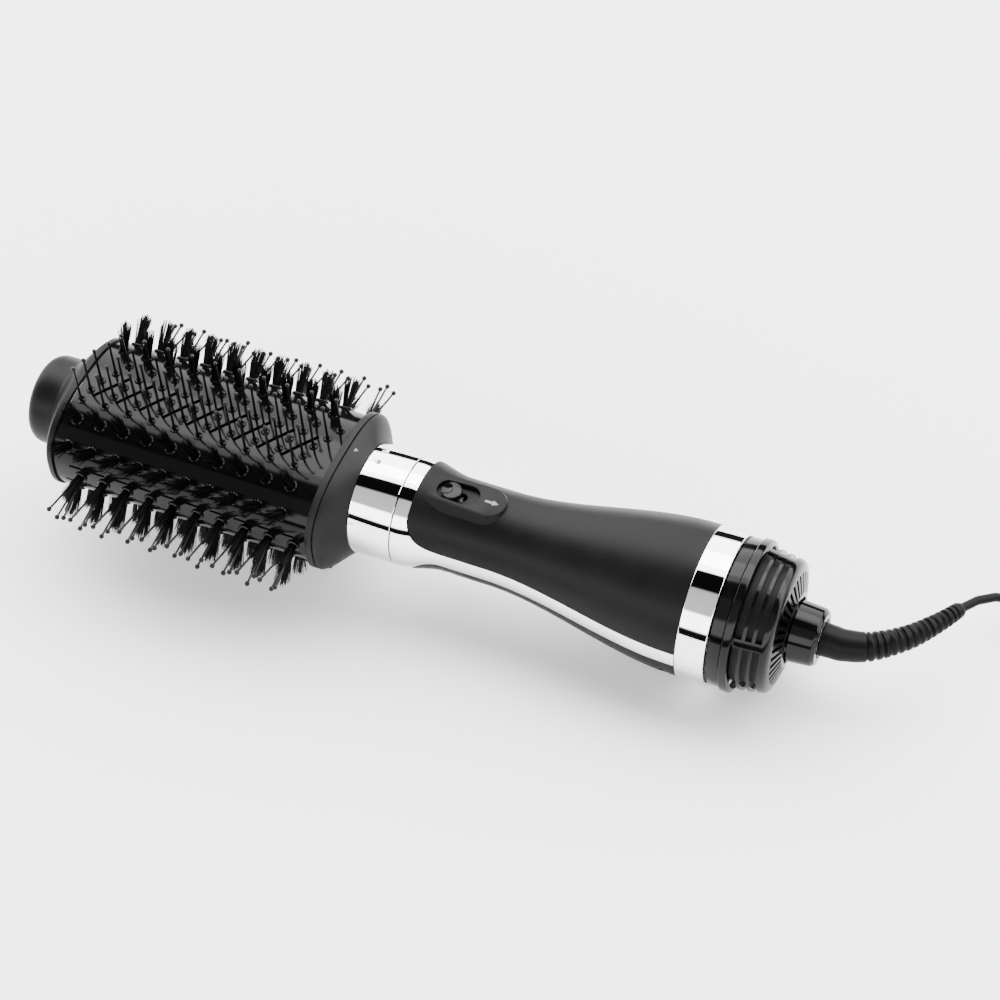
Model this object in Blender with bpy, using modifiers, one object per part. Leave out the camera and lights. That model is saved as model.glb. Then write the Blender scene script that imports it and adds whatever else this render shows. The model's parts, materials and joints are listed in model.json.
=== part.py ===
"""A hot air brush: an oval bristle barrel on a round handle, with its fan, heater, controls and lead.

Everything is built along a straight local axis that runs from the cool tip (x = 0) to the lead.
The axis is then laid on a table, where the lower pins and the chrome band at the rear carry it.
Angles around the axis are measured from the top (+Z) towards the near side (-Y).
"""

import math

import bmesh
import bpy
from mathutils import Matrix, Vector

# Clearances
GAP = 0.0003  # between pieces that touch
RUNNING_GAP = 0.0004  # between pieces that turn or slide in each other

# Lengths along the axis, in order from the cool tip
TIP_LENGTH = 0.0240
BARREL_LENGTH = 0.1240
RIM_LENGTH = 0.0036
COLLAR_LENGTH = 0.0100
LOCK_LENGTH = 0.0200
BEZEL_LENGTH = 0.0062
SHELL_LENGTH = 0.1270
BAND_LENGTH = 0.0130
DIAL_LENGTH = 0.0058
GRILLE_LENGTH = 0.0224
HUB_LENGTH = 0.0118

X_BARREL = TIP_LENGTH
X_RIM = X_BARREL + BARREL_LENGTH
X_COLLAR = X_RIM + RIM_LENGTH
X_LOCK = X_COLLAR + COLLAR_LENGTH
X_BEZEL = X_LOCK + LOCK_LENGTH
X_SHELL = X_BEZEL + BEZEL_LENGTH
X_BAND = X_SHELL + SHELL_LENGTH
X_DIAL = X_BAND + BAND_LENGTH
X_GRILLE = X_DIAL + DIAL_LENGTH
X_HUB = X_GRILLE + GRILLE_LENGTH
X_EXIT = X_HUB + HUB_LENGTH

# The oval barrel and its ends
BARREL_HALF_WIDTH = 0.0360
BARREL_HALF_HEIGHT = 0.0235
OVAL_POWER = 2.5
BARREL_WALL = 0.0018
RIM_PROUD = 0.0021  # how far the rim stands out from the barrel
TIP_RIM_PROUD = 0.0009
TIP_RADIUS = 0.0205
TIP_FACE_RADIUS = 0.0165
TIP_WALL = 0.0020
TIP_REAR_WIDTH = 0.0080  # how far the tip's rear face reaches in from the barrel's surface
OVAL_STEPS = 28

# Pins on the two wide faces, and tufts round the two narrow edges
PINS_IN_ROW = 10
ROW_MARGIN = 0.0196  # the barrel's length that a row of pins leaves free at its two ends
PIN_PITCH = (BARREL_LENGTH - ROW_MARGIN) / (PINS_IN_ROW - 1)
PIN_ROW_SPACING = 0.00625
PIN_ROW_STARTS = tuple(X_BARREL + along for along in (0.0046, 0.0059, 0.0079, 0.0117, 0.0148))
PIN_HEIGHT = 0.0206
PIN_HALF = 0.00055
PLATE_END = 0.0026  # how far a plate or rail runs past its outer studs
PIN_BALL_HALF = 0.0008
PIN_BALL_LENGTH = 0.0020
PIN_HOLE_HALF = 0.0010
PLATE_THICKNESS = 0.0014
TUFT_ANGLES = (20, 50, 90, 130, 160)
TUFT_STARTS = tuple(X_BARREL + along for along in (0.0072, 0.0072, 0.0131, 0.0072, 0.0072))
TUFT_LENGTH = 0.0180
TUFT_ROOT_HALF = 0.0013
TUFT_TIP_HALF = 0.0026
TUFT_SLOT_HALF = 0.0019  # each row of tufts comes out through one long slot
RAIL_HALF_WIDTH = 0.0021
RAIL_THICKNESS = 0.0012

# Slanted air slots across the barrel's wide faces
FACE_SLOT_LENGTH = 0.0186
FACE_SLOT_WIDTH = 0.0015
FACE_SLOT_ANGLE = math.radians(53.7)
FACE_SLOT_CENTRE = (0.0379, -0.0016)

# The twist lock between the head and the handle
LOCK_RADIUS = 0.0247
LOCK_WALL = 0.0018
LOCK_LIP_RADIUS = 0.0200
SPIGOT_RADIUS = 0.0174
SPIGOT_WALL = 0.0030
SPIGOT_FLANGE = 0.0026
KEY_HEIGHT = 0.0018
KEY_HALF_WIDTH = 0.0020
TWIST = 20.0

# The handle
WAIST_RADIUS = 0.0210
REAR_RADIUS = 0.0331
WAIST_START = 0.0152  # from the front of the shells
SWELL_START = 0.0362
SWELL_END = 0.1240
SHELL_WALL = 0.0022
STRIP_HALF = 0.0038
TONGUE_RADIUS = 0.0160
BAND_RADIUS = 0.0338
BAND_EDGE = 0.0006
DIAL_RADIUS = 0.0321
GRILLE_LIP_RADIUS = 0.0332
GRILLE_LIP_LENGTH = 0.0037
GRILLE_RADIUS = 0.0310
GRILLE_END_RADIUS = 0.0292
GRILLE_FACE_RADIUS = 0.0260
GRILLE_FACE_DEPTH = 0.0030  # how far the domed rear face stands out at its middle
GRILLE_WALL = 0.0018
SLOT_ROWS = 3
SLOT_PITCH = 0.0042
SLOT_WIDTH = 0.0027
HUB_RADIUS = 0.0134
HUB_END_RADIUS = 0.0112
SLEEVE_RADIUS = 0.0082
WIRE_BORE = 0.0070  # through the rear frame, the switch and the dial
TURN_STEPS = 26

# The release slider and its pod
POD_HEIGHT = 0.0226
POD_TOP_HALF_WIDTH = 0.0078
POD_BASE_HALF_WIDTH = 0.0116
POD_LENGTH = 0.0385
BUTTON_RADIUS = 0.0045
BUTTON_X = X_SHELL + 0.0137
BUTTON_TRAVEL = 0.0050
BUTTON_TOP = POD_HEIGHT + 0.0004
POCKET_FLOOR = WAIST_RADIUS - 0.0010
POST_RADIUS = 0.0018
LATCH_TOP = WAIST_RADIUS - SHELL_WALL - 0.0012
LATCH_THICKNESS = 0.0034
LATCH_HALF_WIDTH = 0.0030

# Inside the handle
DUCT_RADIUS = WAIST_RADIUS - 0.0090
SHIELD_RADIUS = WAIST_RADIUS - 0.0044
SHIELD_LENGTH = 0.0400
MICA_HALF = SHIELD_RADIUS - 0.0046
MICA_THICKNESS = 0.0008
HEATER_WIRE_RADIUS = 0.0006
HEATER_TURNS = 5
CARRIER_RADIUS = (WAIST_RADIUS + REAR_RADIUS) / 2 - 0.00385
CARRIER_WALL = 0.0015
FAN_RADIUS = CARRIER_RADIUS - CARRIER_WALL - 0.0007
FAN_BLADES = 7
MOTOR_RADIUS = 0.0120
MOTOR_LENGTH = 0.0220
SHAFT_RADIUS = 0.0012
SCREW_RADIUS = 0.0013
SCREW_HEAD_RADIUS = 0.0024
BOSS_RADIUS = 0.0036

# The lead: a smooth curve through these hand-chosen points, beyond the hub's end
CORD_DIAMETER = 0.0040
RELIEF_START_RADIUS = 0.0072
RELIEF_END_RADIUS = 0.0033
RELIEF_ROUTE = (
    (0.0090, 0.0002, -0.0006),
    (0.0190, 0.0036, -0.0014),
    (0.0310, 0.0136, -0.0029),
    (0.0400, 0.0262, -0.0050),
    (0.0470, 0.0396, -0.0078),
)
CORD_ROUTE = (
    (0.0530, 0.0490, -0.0105),
    (0.0610, 0.0560, -0.0143),
    (0.0720, 0.0600, -0.0192),
    (0.0860, 0.0600, -0.0245),
    (0.1010, 0.0560, -0.0280),
    (0.1160, 0.0500, -0.0291),
    (0.1300, 0.0440, -0.0291),
)
COIL_RADIUS = 0.0235
COIL_HALF_WIDTH = 0.0080
COIL_HEIGHT = 0.0164
TAIL_RADIUS = 0.0359  # from the coil's middle to the plug's own axis
PLUG_LENGTH = 0.0300
PLUG_WIDTH = 0.0230
PLUG_THICKNESS = 0.0140


def clear_scene():
    for item in list(bpy.data.objects):
        bpy.data.objects.remove(item)


def collection(name):
    made = bpy.data.collections.new(name)
    bpy.context.scene.collection.children.link(made)
    return made


clear_scene()
PARTS = collection("hot_air_brush")
CUTTERS = collection("cutters")
AXIS = bpy.data.objects.new("brush_axis", None)
PARTS.objects.link(AXIS)


# Finishes

def finish(name, colour, roughness, metallic=0.0):
    material = bpy.data.materials.new(name)
    material.use_nodes = True
    surface = material.node_tree.nodes["Principled BSDF"]
    surface.inputs["Base Color"].default_value = (*colour, 1.0)
    surface.inputs["Roughness"].default_value = roughness
    surface.inputs["Metallic"].default_value = metallic
    material.diffuse_color = (*colour, 1.0)
    return material


SOFT_BLACK = finish("soft_touch_black", (0.035, 0.035, 0.037), 0.55)
GLOSS_BLACK = finish("gloss_black", (0.006, 0.006, 0.007), 0.12)
CERAMIC = finish("ceramic_black", (0.012, 0.012, 0.013), 0.16)
NYLON = finish("black_nylon", (0.010, 0.010, 0.011), 0.40)
RUBBER = finish("black_rubber", (0.018, 0.018, 0.019), 0.60)
CHROME = finish("chrome", (0.85, 0.85, 0.86), 0.05, 1.0)
STEEL = finish("steel", (0.50, 0.50, 0.52), 0.30, 1.0)
BRASS = finish("brass", (0.72, 0.54, 0.25), 0.30, 1.0)
MICA = finish("mica", (0.55, 0.50, 0.40), 0.50)
BOARD = finish("board_green", (0.03, 0.16, 0.07), 0.45)


# Making shapes

def place(name, mesh, material=None, cutter=False, parent=AXIS, smooth=False):
    """An object made from a mesh, in the parts or among the hidden cutters."""
    item = bpy.data.objects.new(name, mesh)
    item.parent = parent
    if cutter:
        item.hide_render = True
        item.display_type = "WIRE"
        CUTTERS.objects.link(item)
        return item
    PARTS.objects.link(item)
    mesh.materials.append(material)
    if smooth:
        mesh.shade_smooth()
        mesh.set_sharp_from_angle(angle=math.radians(35))
    return item


def mesh_from(bm, name):
    bmesh.ops.recalc_face_normals(bm, faces=bm.faces)
    mesh = bpy.data.meshes.new(name)
    bm.to_mesh(mesh)
    bm.free()
    return mesh


def turned(name, outline, material=None, cutter=False, steps=TURN_STEPS, ring=True):
    """A turned shape. The outline holds (x, radius), from the rear down its outer side to the front."""
    bm = bmesh.new()
    points = [bm.verts.new((radius, 0.0, x)) for x, radius in outline]
    pairs = list(zip(points, points[1:]))
    if ring:
        pairs.append((points[-1], points[0]))
    for pair in pairs:
        bm.edges.new(pair)
    mesh = bpy.data.meshes.new(name)
    bm.to_mesh(mesh)
    bm.free()
    item = place(name, mesh, material, cutter)
    item.rotation_euler = (0.0, math.pi / 2, 0.0)
    screw = item.modifiers.new("turn", "SCREW")
    screw.steps = steps
    screw.render_steps = steps
    screw.use_merge_vertices = True
    screw.merge_threshold = 0.00001
    screw.use_smooth_shade = True
    return item


def tube(name, x_low, x_high, inner, outer, material=None, cutter=False, steps=TURN_STEPS):
    outline = ((x_high, inner), (x_high, outer), (x_low, outer), (x_low, inner))
    return turned(name, outline, material, cutter, steps)


def rod_along(name, start, end, radius, material=None, cutter=False, sides=12):
    """A cylinder between two points of the brush's own frame."""
    start, end = Vector(start), Vector(end)
    bm = bmesh.new()
    turn = (end - start).to_track_quat("Z", "Y").to_matrix().to_4x4()
    middle = Matrix.Translation((start + end) / 2)
    bmesh.ops.create_cone(bm, cap_ends=True, segments=sides, radius1=radius, radius2=radius,
                          depth=(end - start).length, matrix=middle @ turn)
    return place(name, mesh_from(bm, name), material, cutter, smooth=not cutter)


def block(name, low, high, material=None, cutter=False, bevel=0.0, turn=0.0):
    """A box between two corners, turned about the brush's axis by an angle in radians."""
    low, high = Vector(low), Vector(high)
    bm = bmesh.new()
    bmesh.ops.create_cube(bm, size=1.0)
    bmesh.ops.scale(bm, vec=high - low, verts=bm.verts)
    bmesh.ops.translate(bm, vec=(low + high) / 2, verts=bm.verts)
    bmesh.ops.rotate(bm, cent=(0, 0, 0), matrix=Matrix.Rotation(turn, 3, "X"), verts=bm.verts)
    item = place(name, mesh_from(bm, name), material, cutter)
    if bevel:
        edge = item.modifiers.new("edge", "BEVEL")
        edge.width = bevel
        edge.segments = 2
    return item


def prism(name, outline, normal, low, high, material=None, cutter=False):
    """A flat outline made solid along one axis, 'X', 'Y' or 'Z', between two stations."""
    corner = {
        "X": lambda u, v: (low, u, v),
        "Y": lambda u, v: (u, low, v),
        "Z": lambda u, v: (u, v, low),
    }[normal]
    bm = bmesh.new()
    face = bm.faces.new([bm.verts.new(corner(u, v)) for u, v in outline])
    raised = bmesh.ops.extrude_face_region(bm, geom=[face])["geom"]
    shift = Vector(corner(0.0, 0.0)).normalized() * 0.0
    shift["XYZ".index(normal)] = high - low
    bmesh.ops.translate(bm, vec=shift, verts=[v for v in raised if isinstance(v, bmesh.types.BMVert)])
    return place(name, mesh_from(bm, name), material, cutter)


def boolean(item, other, operation):
    modifier = item.modifiers.new(operation.lower() + "_" + other.name, "BOOLEAN")
    modifier.operation = operation
    modifier.object = other


def cut(item, *others):
    for other in others:
        boolean(item, other, "DIFFERENCE")


def join(item, *others):
    for other in others:
        boolean(item, other, "UNION")


def arc(radius, start, end, steps):
    """Points (y, z) of an arc round the axis, between two angles in degrees from the top."""
    angles = [math.radians(start + (end - start) * i / steps) for i in range(steps + 1)]
    return [(-radius * math.sin(a), radius * math.cos(a)) for a in angles]


def sector(name, inner, outer, start, end, x_low, x_high, steps=3):
    """A cutter that is part of a ring."""
    outline = arc(inner, start, end, steps) + arc(outer, end, start, steps)
    return prism(name, outline, "X", x_low, x_high, cutter=True)


def oval(x, half_width, half_height, power):
    """One ring of points of an oval section. Power 2 is an ellipse, and more is squarer."""
    points = []
    for i in range(OVAL_STEPS):
        angle = 2 * math.pi * (i + 0.5) / OVAL_STEPS
        c, s = math.cos(angle), math.sin(angle)
        y = math.copysign(abs(c) ** (2 / power), c) * half_width
        z = math.copysign(abs(s) ** (2 / power), s) * half_height
        points.append((x, y, z))
    return points


def circle(x, radius):
    return oval(x, radius, radius, 2.0)


def grown(x, more):
    """The barrel's section at station x, made larger or smaller all round."""
    return oval(x, BARREL_HALF_WIDTH + more, BARREL_HALF_HEIGHT + more, OVAL_POWER)


def between(first, second, share, x):
    """A ring part of the way from one ring to another."""
    return [(x, a[1] + (b[1] - a[1]) * share, a[2] + (b[2] - a[2]) * share)
            for a, b in zip(first, second)]


def lofted(name, rings, material, ring=True):
    """A skin over rings of points: closed on itself, or with a flat cap at each end."""
    bm = bmesh.new()
    loops = [[bm.verts.new(point) for point in points] for points in rings]
    pairs = list(zip(loops, loops[1:]))
    if ring:
        pairs.append((loops[-1], loops[0]))
    else:
        bm.faces.new(loops[0])
        bm.faces.new(loops[-1])
    for first, second in pairs:
        for i in range(OVAL_STEPS):
            j = (i + 1) % OVAL_STEPS
            bm.faces.new((first[i], first[j], second[j], second[i]))
    return place(name, mesh_from(bm, name), material, smooth=True)


def smoothstep(t):
    t = min(max(t, 0.0), 1.0)
    return t * t * (3 - 2 * t)


def handle_radius(x):
    """The handle's outer radius: it narrows to a waist and swells again to the rear."""
    narrowing = smoothstep((x - X_BEZEL - 0.0010) / (WAIST_START + BEZEL_LENGTH - 0.0010))
    swelling = smoothstep((x - X_SHELL - SWELL_START) / (SWELL_END - SWELL_START))
    front = LOCK_RADIUS + (WAIST_RADIUS - LOCK_RADIUS) * narrowing
    return front + (REAR_RADIUS - WAIST_RADIUS) * swelling


def barrel_point(angle):
    """Where the barrel's outer surface faces an angle from the top, as (y, z)."""
    share = OVAL_POWER / (OVAL_POWER - 1)
    a, b = BARREL_HALF_WIDTH, BARREL_HALF_HEIGHT
    sine, cosine = math.sin(math.radians(angle)), math.cos(math.radians(angle))
    reach = ((a * abs(sine)) ** share + (b * abs(cosine)) ** share) ** (1 / share)
    y = a * (a * abs(sine) / reach) ** (share - 1)
    z = b * (b * abs(cosine) / reach) ** (share - 1)
    return -math.copysign(y, sine), math.copysign(z, cosine)


def barrel_height(y):
    """The height of the barrel's face at a distance from its middle."""
    return BARREL_HALF_HEIGHT * (1 - abs(y / BARREL_HALF_WIDTH) ** OVAL_POWER) ** (1 / OVAL_POWER)


def studded_plate(name, starts, spacing, thickness, half_width, studs):
    """A flat plate with rows of studs on its upper side, which lies in z = 0.

    studs is a list of (height, half width), from the root of each stud, at no height, to its end.
    """
    rows = len(starts)
    length = (PINS_IN_ROW - 1) * PIN_PITCH
    bm = bmesh.new()
    bmesh.ops.create_grid(bm, x_segments=PINS_IN_ROW, y_segments=rows, size=0.5)
    edges = [starts[0], *[(a + b) / 2 for a, b in zip(starts, starts[1:])], starts[-1]]
    for vertex in bm.verts:
        column = round((vertex.co.x + 0.5) * PINS_IN_ROW)
        row = round((vertex.co.y + 0.5) * rows)
        along = min(max((column - 0.5) * PIN_PITCH, -PLATE_END), length + PLATE_END)
        vertex.co.x = edges[row] + along
        if rows > 1:
            vertex.co.y = (row - rows / 2) * spacing
        else:
            vertex.co.y = (2 * row - 1) * half_width
        vertex.co.z = -thickness
    grid = bmesh.ops.extrude_face_region(bm, geom=bm.faces[:])["geom"]
    top = [item for item in grid if isinstance(item, bmesh.types.BMFace)]
    bmesh.ops.translate(bm, vec=(0, 0, thickness),
                        verts=[item for item in grid if isinstance(item, bmesh.types.BMVert)])
    bmesh.ops.inset_individual(bm, faces=top, thickness=0.0003, use_even_offset=True)
    centres = [Vector((start + column * PIN_PITCH, (row - (rows - 1) / 2) * spacing, 0.0))
               for row, start in enumerate(starts) for column in range(PINS_IN_ROW)]
    ordered = [min(centres, key=lambda c: (c - face.calc_center_median()).length) for face in top]
    current = top
    root = studs[0][1]
    for face, centre in zip(current, ordered):
        resize(face, centre, root, 0.0)
    for height, half in studs[1:]:
        current = bmesh.ops.extrude_discrete_faces(bm, faces=current)["faces"]
        for face, centre in zip(current, ordered):
            resize(face, centre, half, height)
    return mesh_from(bm, name)


def resize(face, centre, half, height):
    """Moves a square face's corners to a given half width and height about a centre."""
    middle = face.calc_center_median()
    for vertex in face.verts:
        side = vertex.co - middle
        vertex.co.x = centre.x + math.copysign(half, side.x)
        vertex.co.y = centre.y + math.copysign(half, side.y)
        vertex.co.z = height


# The brush head

def make_cool_tip():
    rear = TIP_LENGTH - GAP / 2
    rim = grown(rear, TIP_RIM_PROUD)
    neck = circle(0.0, TIP_RADIUS)
    inner_rim = grown(rear, -TIP_REAR_WIDTH)
    inner_neck = circle(0.0, TIP_RADIUS - TIP_WALL)
    outer = [between(rim, neck, share, x) for x, share in
             ((rear, 0.0), (0.0212, 0.0), (0.0196, 0.20), (0.0176, 0.68), (0.0138, 1.0),
              (0.0045, 1.0))]
    face = [circle(0.0020, TIP_RADIUS - 0.0010), circle(0.0005, TIP_RADIUS - 0.0026),
            circle(0.0, TIP_FACE_RADIUS)]
    inner = [between(inner_rim, inner_neck, share, x) for x, share in
             ((0.0030, 1.0), (0.0150, 1.0), (0.0192, 0.60), (0.0212, 0.0), (rear, 0.0))]
    return lofted("cool_tip", inner + outer + face, SOFT_BLACK, ring=False)


def make_barrel():
    front, rear = X_BARREL + GAP / 2, X_RIM - GAP / 2
    rings = [grown(front, 0.0), grown(rear, 0.0), grown(rear, -BARREL_WALL), grown(front, -BARREL_WALL)]
    barrel = lofted("barrel", rings, CERAMIC)
    cut(barrel, hole_cutter("pin_holes", PIN_HOLE_HALF, pin_places()),
        tuft_slot_cutter(), slot_cutter())


def pin_places():
    """Where each pin leaves the barrel and which way it points, on both wide faces."""
    for up in (1, -1):
        for row, start in enumerate(PIN_ROW_STARTS):
            y = (row - (len(PIN_ROW_STARTS) - 1) / 2) * PIN_ROW_SPACING
            for i in range(PINS_IN_ROW):
                foot = Vector((start + i * PIN_PITCH, y * up, barrel_height(y) * up))
                yield foot, Vector((0, 0, up))


def tuft_rows():
    """Each row of tufts as its side (+1 near, -1 far), its angle and its first station."""
    for side in (1, -1):
        for angle, start in zip(TUFT_ANGLES, TUFT_STARTS):
            yield side, angle, start


def tuft_slot_cutter():
    """One long slot for each row of tufts, as one cutter."""
    bm = bmesh.new()
    run = (PINS_IN_ROW - 1) * PIN_PITCH
    size = Matrix.Diagonal((run + 2 * PLATE_END, 2 * TUFT_SLOT_HALF, 4 * BARREL_WALL, 1.0))
    for side, angle, start in tuft_rows():
        y, z = barrel_point(side * angle)
        turn = Matrix.Rotation(math.radians(side * angle), 4, "X")
        bmesh.ops.create_cube(bm, size=1.0,
                              matrix=Matrix.Translation((start + run / 2, y, z)) @ turn @ size)
    return place("tuft_slots", mesh_from(bm, "tuft_slots"), cutter=True)


def hole_cutter(name, half, places):
    """Square holes through the barrel's wall, as one cutter."""
    bm = bmesh.new()
    for foot, out in places:
        turn = out.to_track_quat("Z", "Y").to_matrix().to_4x4()
        size = Matrix.Diagonal((2 * half, 2 * half, 4 * BARREL_WALL, 1.0))
        bmesh.ops.create_cube(bm, size=1.0, matrix=Matrix.Translation(foot) @ turn @ size)
    return place(name, mesh_from(bm, name), cutter=True)


def slot_cutter():
    """The slanted slots between the pins of both wide faces, as one cutter."""
    bm = bmesh.new()
    size = Matrix.Diagonal((FACE_SLOT_LENGTH, FACE_SLOT_WIDTH, 4 * BARREL_WALL, 1.0))
    for up in (1, -1):
        slant = Matrix.Rotation(FACE_SLOT_ANGLE * up, 4, "Z")
        for i in range(PINS_IN_ROW - 1):
            centre = (FACE_SLOT_CENTRE[0] + i * PIN_PITCH, FACE_SLOT_CENTRE[1] * up,
                      BARREL_HALF_HEIGHT * up)
            bmesh.ops.create_cube(bm, size=1.0, matrix=Matrix.Translation(centre) @ slant @ size)
    return place("air_slots", mesh_from(bm, "air_slots"), cutter=True)


def make_pin_plates():
    """The pins stand on a plate inside each wide face, and their tips lie in one plane."""
    edge = PIN_ROW_SPACING * len(PIN_ROW_STARTS) / 2
    top = barrel_height(edge) - BARREL_WALL - GAP - 0.0002
    tip = pin_reach() - top
    studs = ((0.0, PIN_HALF), (tip - PIN_BALL_LENGTH, PIN_HALF), (tip, PIN_BALL_HALF))
    mesh = studded_plate("pin_plate", PIN_ROW_STARTS, PIN_ROW_SPACING, PLATE_THICKNESS, 0.0, studs)
    for name, turn in (("upper_pin_plate", 0.0), ("lower_pin_plate", math.pi)):
        item = place(name, mesh.copy(), NYLON)
        item.rotation_euler = (turn, 0.0, 0.0)
        item.location = (0.0, 0.0, top * math.cos(turn))


def pin_reach():
    """How far the pins' tips stand from the axis."""
    return BARREL_HALF_HEIGHT + PIN_HEIGHT


def make_tuft_rails():
    depth = BARREL_WALL + GAP + 0.0004
    reach = TUFT_LENGTH + depth
    studs = ((0.0, TUFT_ROOT_HALF), (reach, TUFT_TIP_HALF))
    for side, angle, start in tuft_rows():
        name = ("near" if side > 0 else "far") + f"_tuft_rail_{angle}"
        mesh = studded_plate(name, (start,), PIN_PITCH, RAIL_THICKNESS, RAIL_HALF_WIDTH, studs)
        item = place(name, mesh, NYLON)
        y, z = barrel_point(side * angle)
        turn = math.radians(side * angle)
        item.rotation_euler = (turn, 0.0, 0.0)
        item.location = (0.0, y + depth * math.sin(turn), z - depth * math.cos(turn))


def make_head_core():
    """The frame in the barrel's front end, the air guide down its middle and the screw that ties them."""
    front = X_BARREL + GAP / 2
    thickness = 0.0024
    inside = -TIP_REAR_WIDTH + 0.0020
    bore = SCREW_RADIUS + RUNNING_GAP
    lofted("front_frame", [grown(front, inside), grown(front + thickness, inside),
                           circle(front + thickness, bore), circle(front, bore)], NYLON)
    start = front + thickness + GAP
    end = X_RIM - SPIGOT_FLANGE - 2 * GAP
    wall = 0.0012
    turned("air_guide", (
        (end, 0.0130 - wall), (end, 0.0130), (start + 0.0500, 0.0110), (start + 0.0140, 0.0060),
        (start + 0.0100, 0.0045), (start, 0.0045), (start, bore), (start + 0.0120, bore),
        (start + 0.0150, 0.0060 - wall), (start + 0.0500, 0.0110 - wall)), NYLON, steps=24)
    head = front - GAP
    turned("tip_screw", (
        (start + 0.0100, 0.0), (start + 0.0100, SCREW_RADIUS), (head, SCREW_RADIUS), (head, 0.0034),
        (head - 0.0022, 0.0030), (head - 0.0022, 0.0)), STEEL, steps=12, ring=False)


def make_head_rear():
    """The raised rim and tapered collar behind the barrel, and the spigot that plugs into the handle."""
    bore = SPIGOT_RADIUS + GAP
    front, rear = X_RIM + GAP / 2, X_COLLAR - GAP / 2
    lofted("barrel_rim", [grown(front, RIM_PROUD - 0.0005), grown(front + 0.0007, RIM_PROUD),
                          grown(rear - 0.0005, RIM_PROUD), grown(rear, RIM_PROUD - 0.0005),
                          circle(rear, bore), circle(front, bore)], SOFT_BLACK)
    front, rear = X_COLLAR + GAP / 2, X_LOCK - GAP / 2
    oval_end = grown(front, RIM_PROUD)
    neck = circle(rear, LOCK_RADIUS + 0.0001)
    skin = [between(oval_end, neck, share, x) for x, share in
            ((front, 0.0), (front + 0.0024, 0.04), (front + 0.0048, 0.24), (front + 0.0070, 0.56),
             (rear, 1.0))]
    lofted("neck_collar", skin + [circle(rear, bore), circle(front, bore)], SOFT_BLACK)
    rear = X_BEZEL - 0.0036
    flange = SPIGOT_RADIUS + 0.0008
    root = X_RIM - GAP / 2
    inner = SPIGOT_RADIUS - SPIGOT_WALL
    spigot = turned("head_spigot", (
        (rear, inner), (rear, SPIGOT_RADIUS - 0.0006), (rear - 0.0012, SPIGOT_RADIUS),
        (root, SPIGOT_RADIUS), (root, flange), (root - SPIGOT_FLANGE, flange),
        (root - SPIGOT_FLANGE, inner)), SOFT_BLACK)
    for side in (1, -1):
        key = block("spigot_key", (X_LOCK + 0.0035, SPIGOT_RADIUS - 0.0010, -KEY_HALF_WIDTH),
                    (rear - 0.0020, SPIGOT_RADIUS + KEY_HEIGHT, KEY_HALF_WIDTH), cutter=True,
                    turn=0.0 if side > 0 else math.pi)
        join(spigot, key)


# The lock between head and handle

def make_lock():
    front, rear = X_LOCK + GAP / 2, X_BEZEL - GAP / 2
    bore = LOCK_RADIUS - LOCK_WALL
    lip = front + 0.0015
    edge = 0.0003
    turned("lock_ring", (
        (rear, bore), (rear, LOCK_RADIUS - edge), (rear - edge, LOCK_RADIUS),
        (front + edge, LOCK_RADIUS), (front, LOCK_RADIUS - edge), (front, LOCK_LIP_RADIUS),
        (lip, LOCK_LIP_RADIUS), (lip, bore)), CHROME)
    low, high = lip + RUNNING_GAP, rear - 0.0018
    ring = tube("bayonet_ring", low, high, SPIGOT_RADIUS + RUNNING_GAP, bore - RUNNING_GAP, NYLON)
    slot = KEY_HALF_WIDTH + RUNNING_GAP
    deep = SPIGOT_RADIUS + KEY_HEIGHT + RUNNING_GAP
    for turn in (0.0, math.pi):
        cut(ring, block("key_slot", (low - 0.0010, SPIGOT_RADIUS - 0.0010, -slot),
                        (high + 0.0010, deep, slot), cutter=True, turn=turn))
    nose = math.degrees(math.asin(LATCH_HALF_WIDTH / SPIGOT_RADIUS))
    cut(ring, sector("latch_recess", SPIGOT_RADIUS - 0.0010, LOCK_RADIUS, -nose - 2.0,
                     nose + TWIST + 2.0, latch_nose_front() - RUNNING_GAP, high + 0.0010))


def latch_nose_front():
    return X_BEZEL - 0.0060


def make_release_slider():
    """The thumb button, the latch below it and the spring that pushes both forward."""
    bm = bmesh.new()
    low = LATCH_TOP + GAP
    floor = POCKET_FLOOR + GAP
    bmesh.ops.create_cone(bm, cap_ends=True, segments=24, radius1=BUTTON_RADIUS, radius2=BUTTON_RADIUS,
                          depth=BUTTON_TOP - floor,
                          matrix=Matrix.Translation((BUTTON_X, 0, (BUTTON_TOP + floor) / 2)))
    button = place("slider_button", mesh_from(bm, "slider_button"), SOFT_BLACK, smooth=True)
    join(button, rod_along("button_post", (BUTTON_X, 0, low), (BUTTON_X, 0, floor + 0.0010),
                           POST_RADIUS, cutter=True))
    cut(button, rod_along("thumb_hollow", (BUTTON_X - 0.0030, -0.0080, BUTTON_TOP + 0.0052),
                          (BUTTON_X - 0.0030, 0.0080, BUTTON_TOP + 0.0052), 0.0060, cutter=True, sides=24))
    nose, bar_end = latch_nose_front(), latch_end()
    nose_low, nose_high = SPIGOT_RADIUS + 0.0010, LOCK_RADIUS - LOCK_WALL - 0.0023
    base = LATCH_TOP - LATCH_THICKNESS
    step = X_BEZEL - 0.0016
    outline = ((nose, nose_low), (nose, nose_high), (step + 0.0020, nose_high),
               (step + 0.0040, LATCH_TOP), (bar_end, LATCH_TOP), (bar_end, base), (step, base),
               (step, nose_low))
    prism("release_latch", outline, "Y", -LATCH_HALF_WIDTH, LATCH_HALF_WIDTH, STEEL)
    spring_wire("latch_spring", bar_end + 2 * GAP, duct_flange() - 2 * GAP,
                (0.0, LATCH_TOP - LATCH_THICKNESS / 2), 0.0013, 0.0003, 4)


def latch_end():
    return BUTTON_X + 0.0045


def duct_flange():
    return X_SHELL + 0.0310


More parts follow.
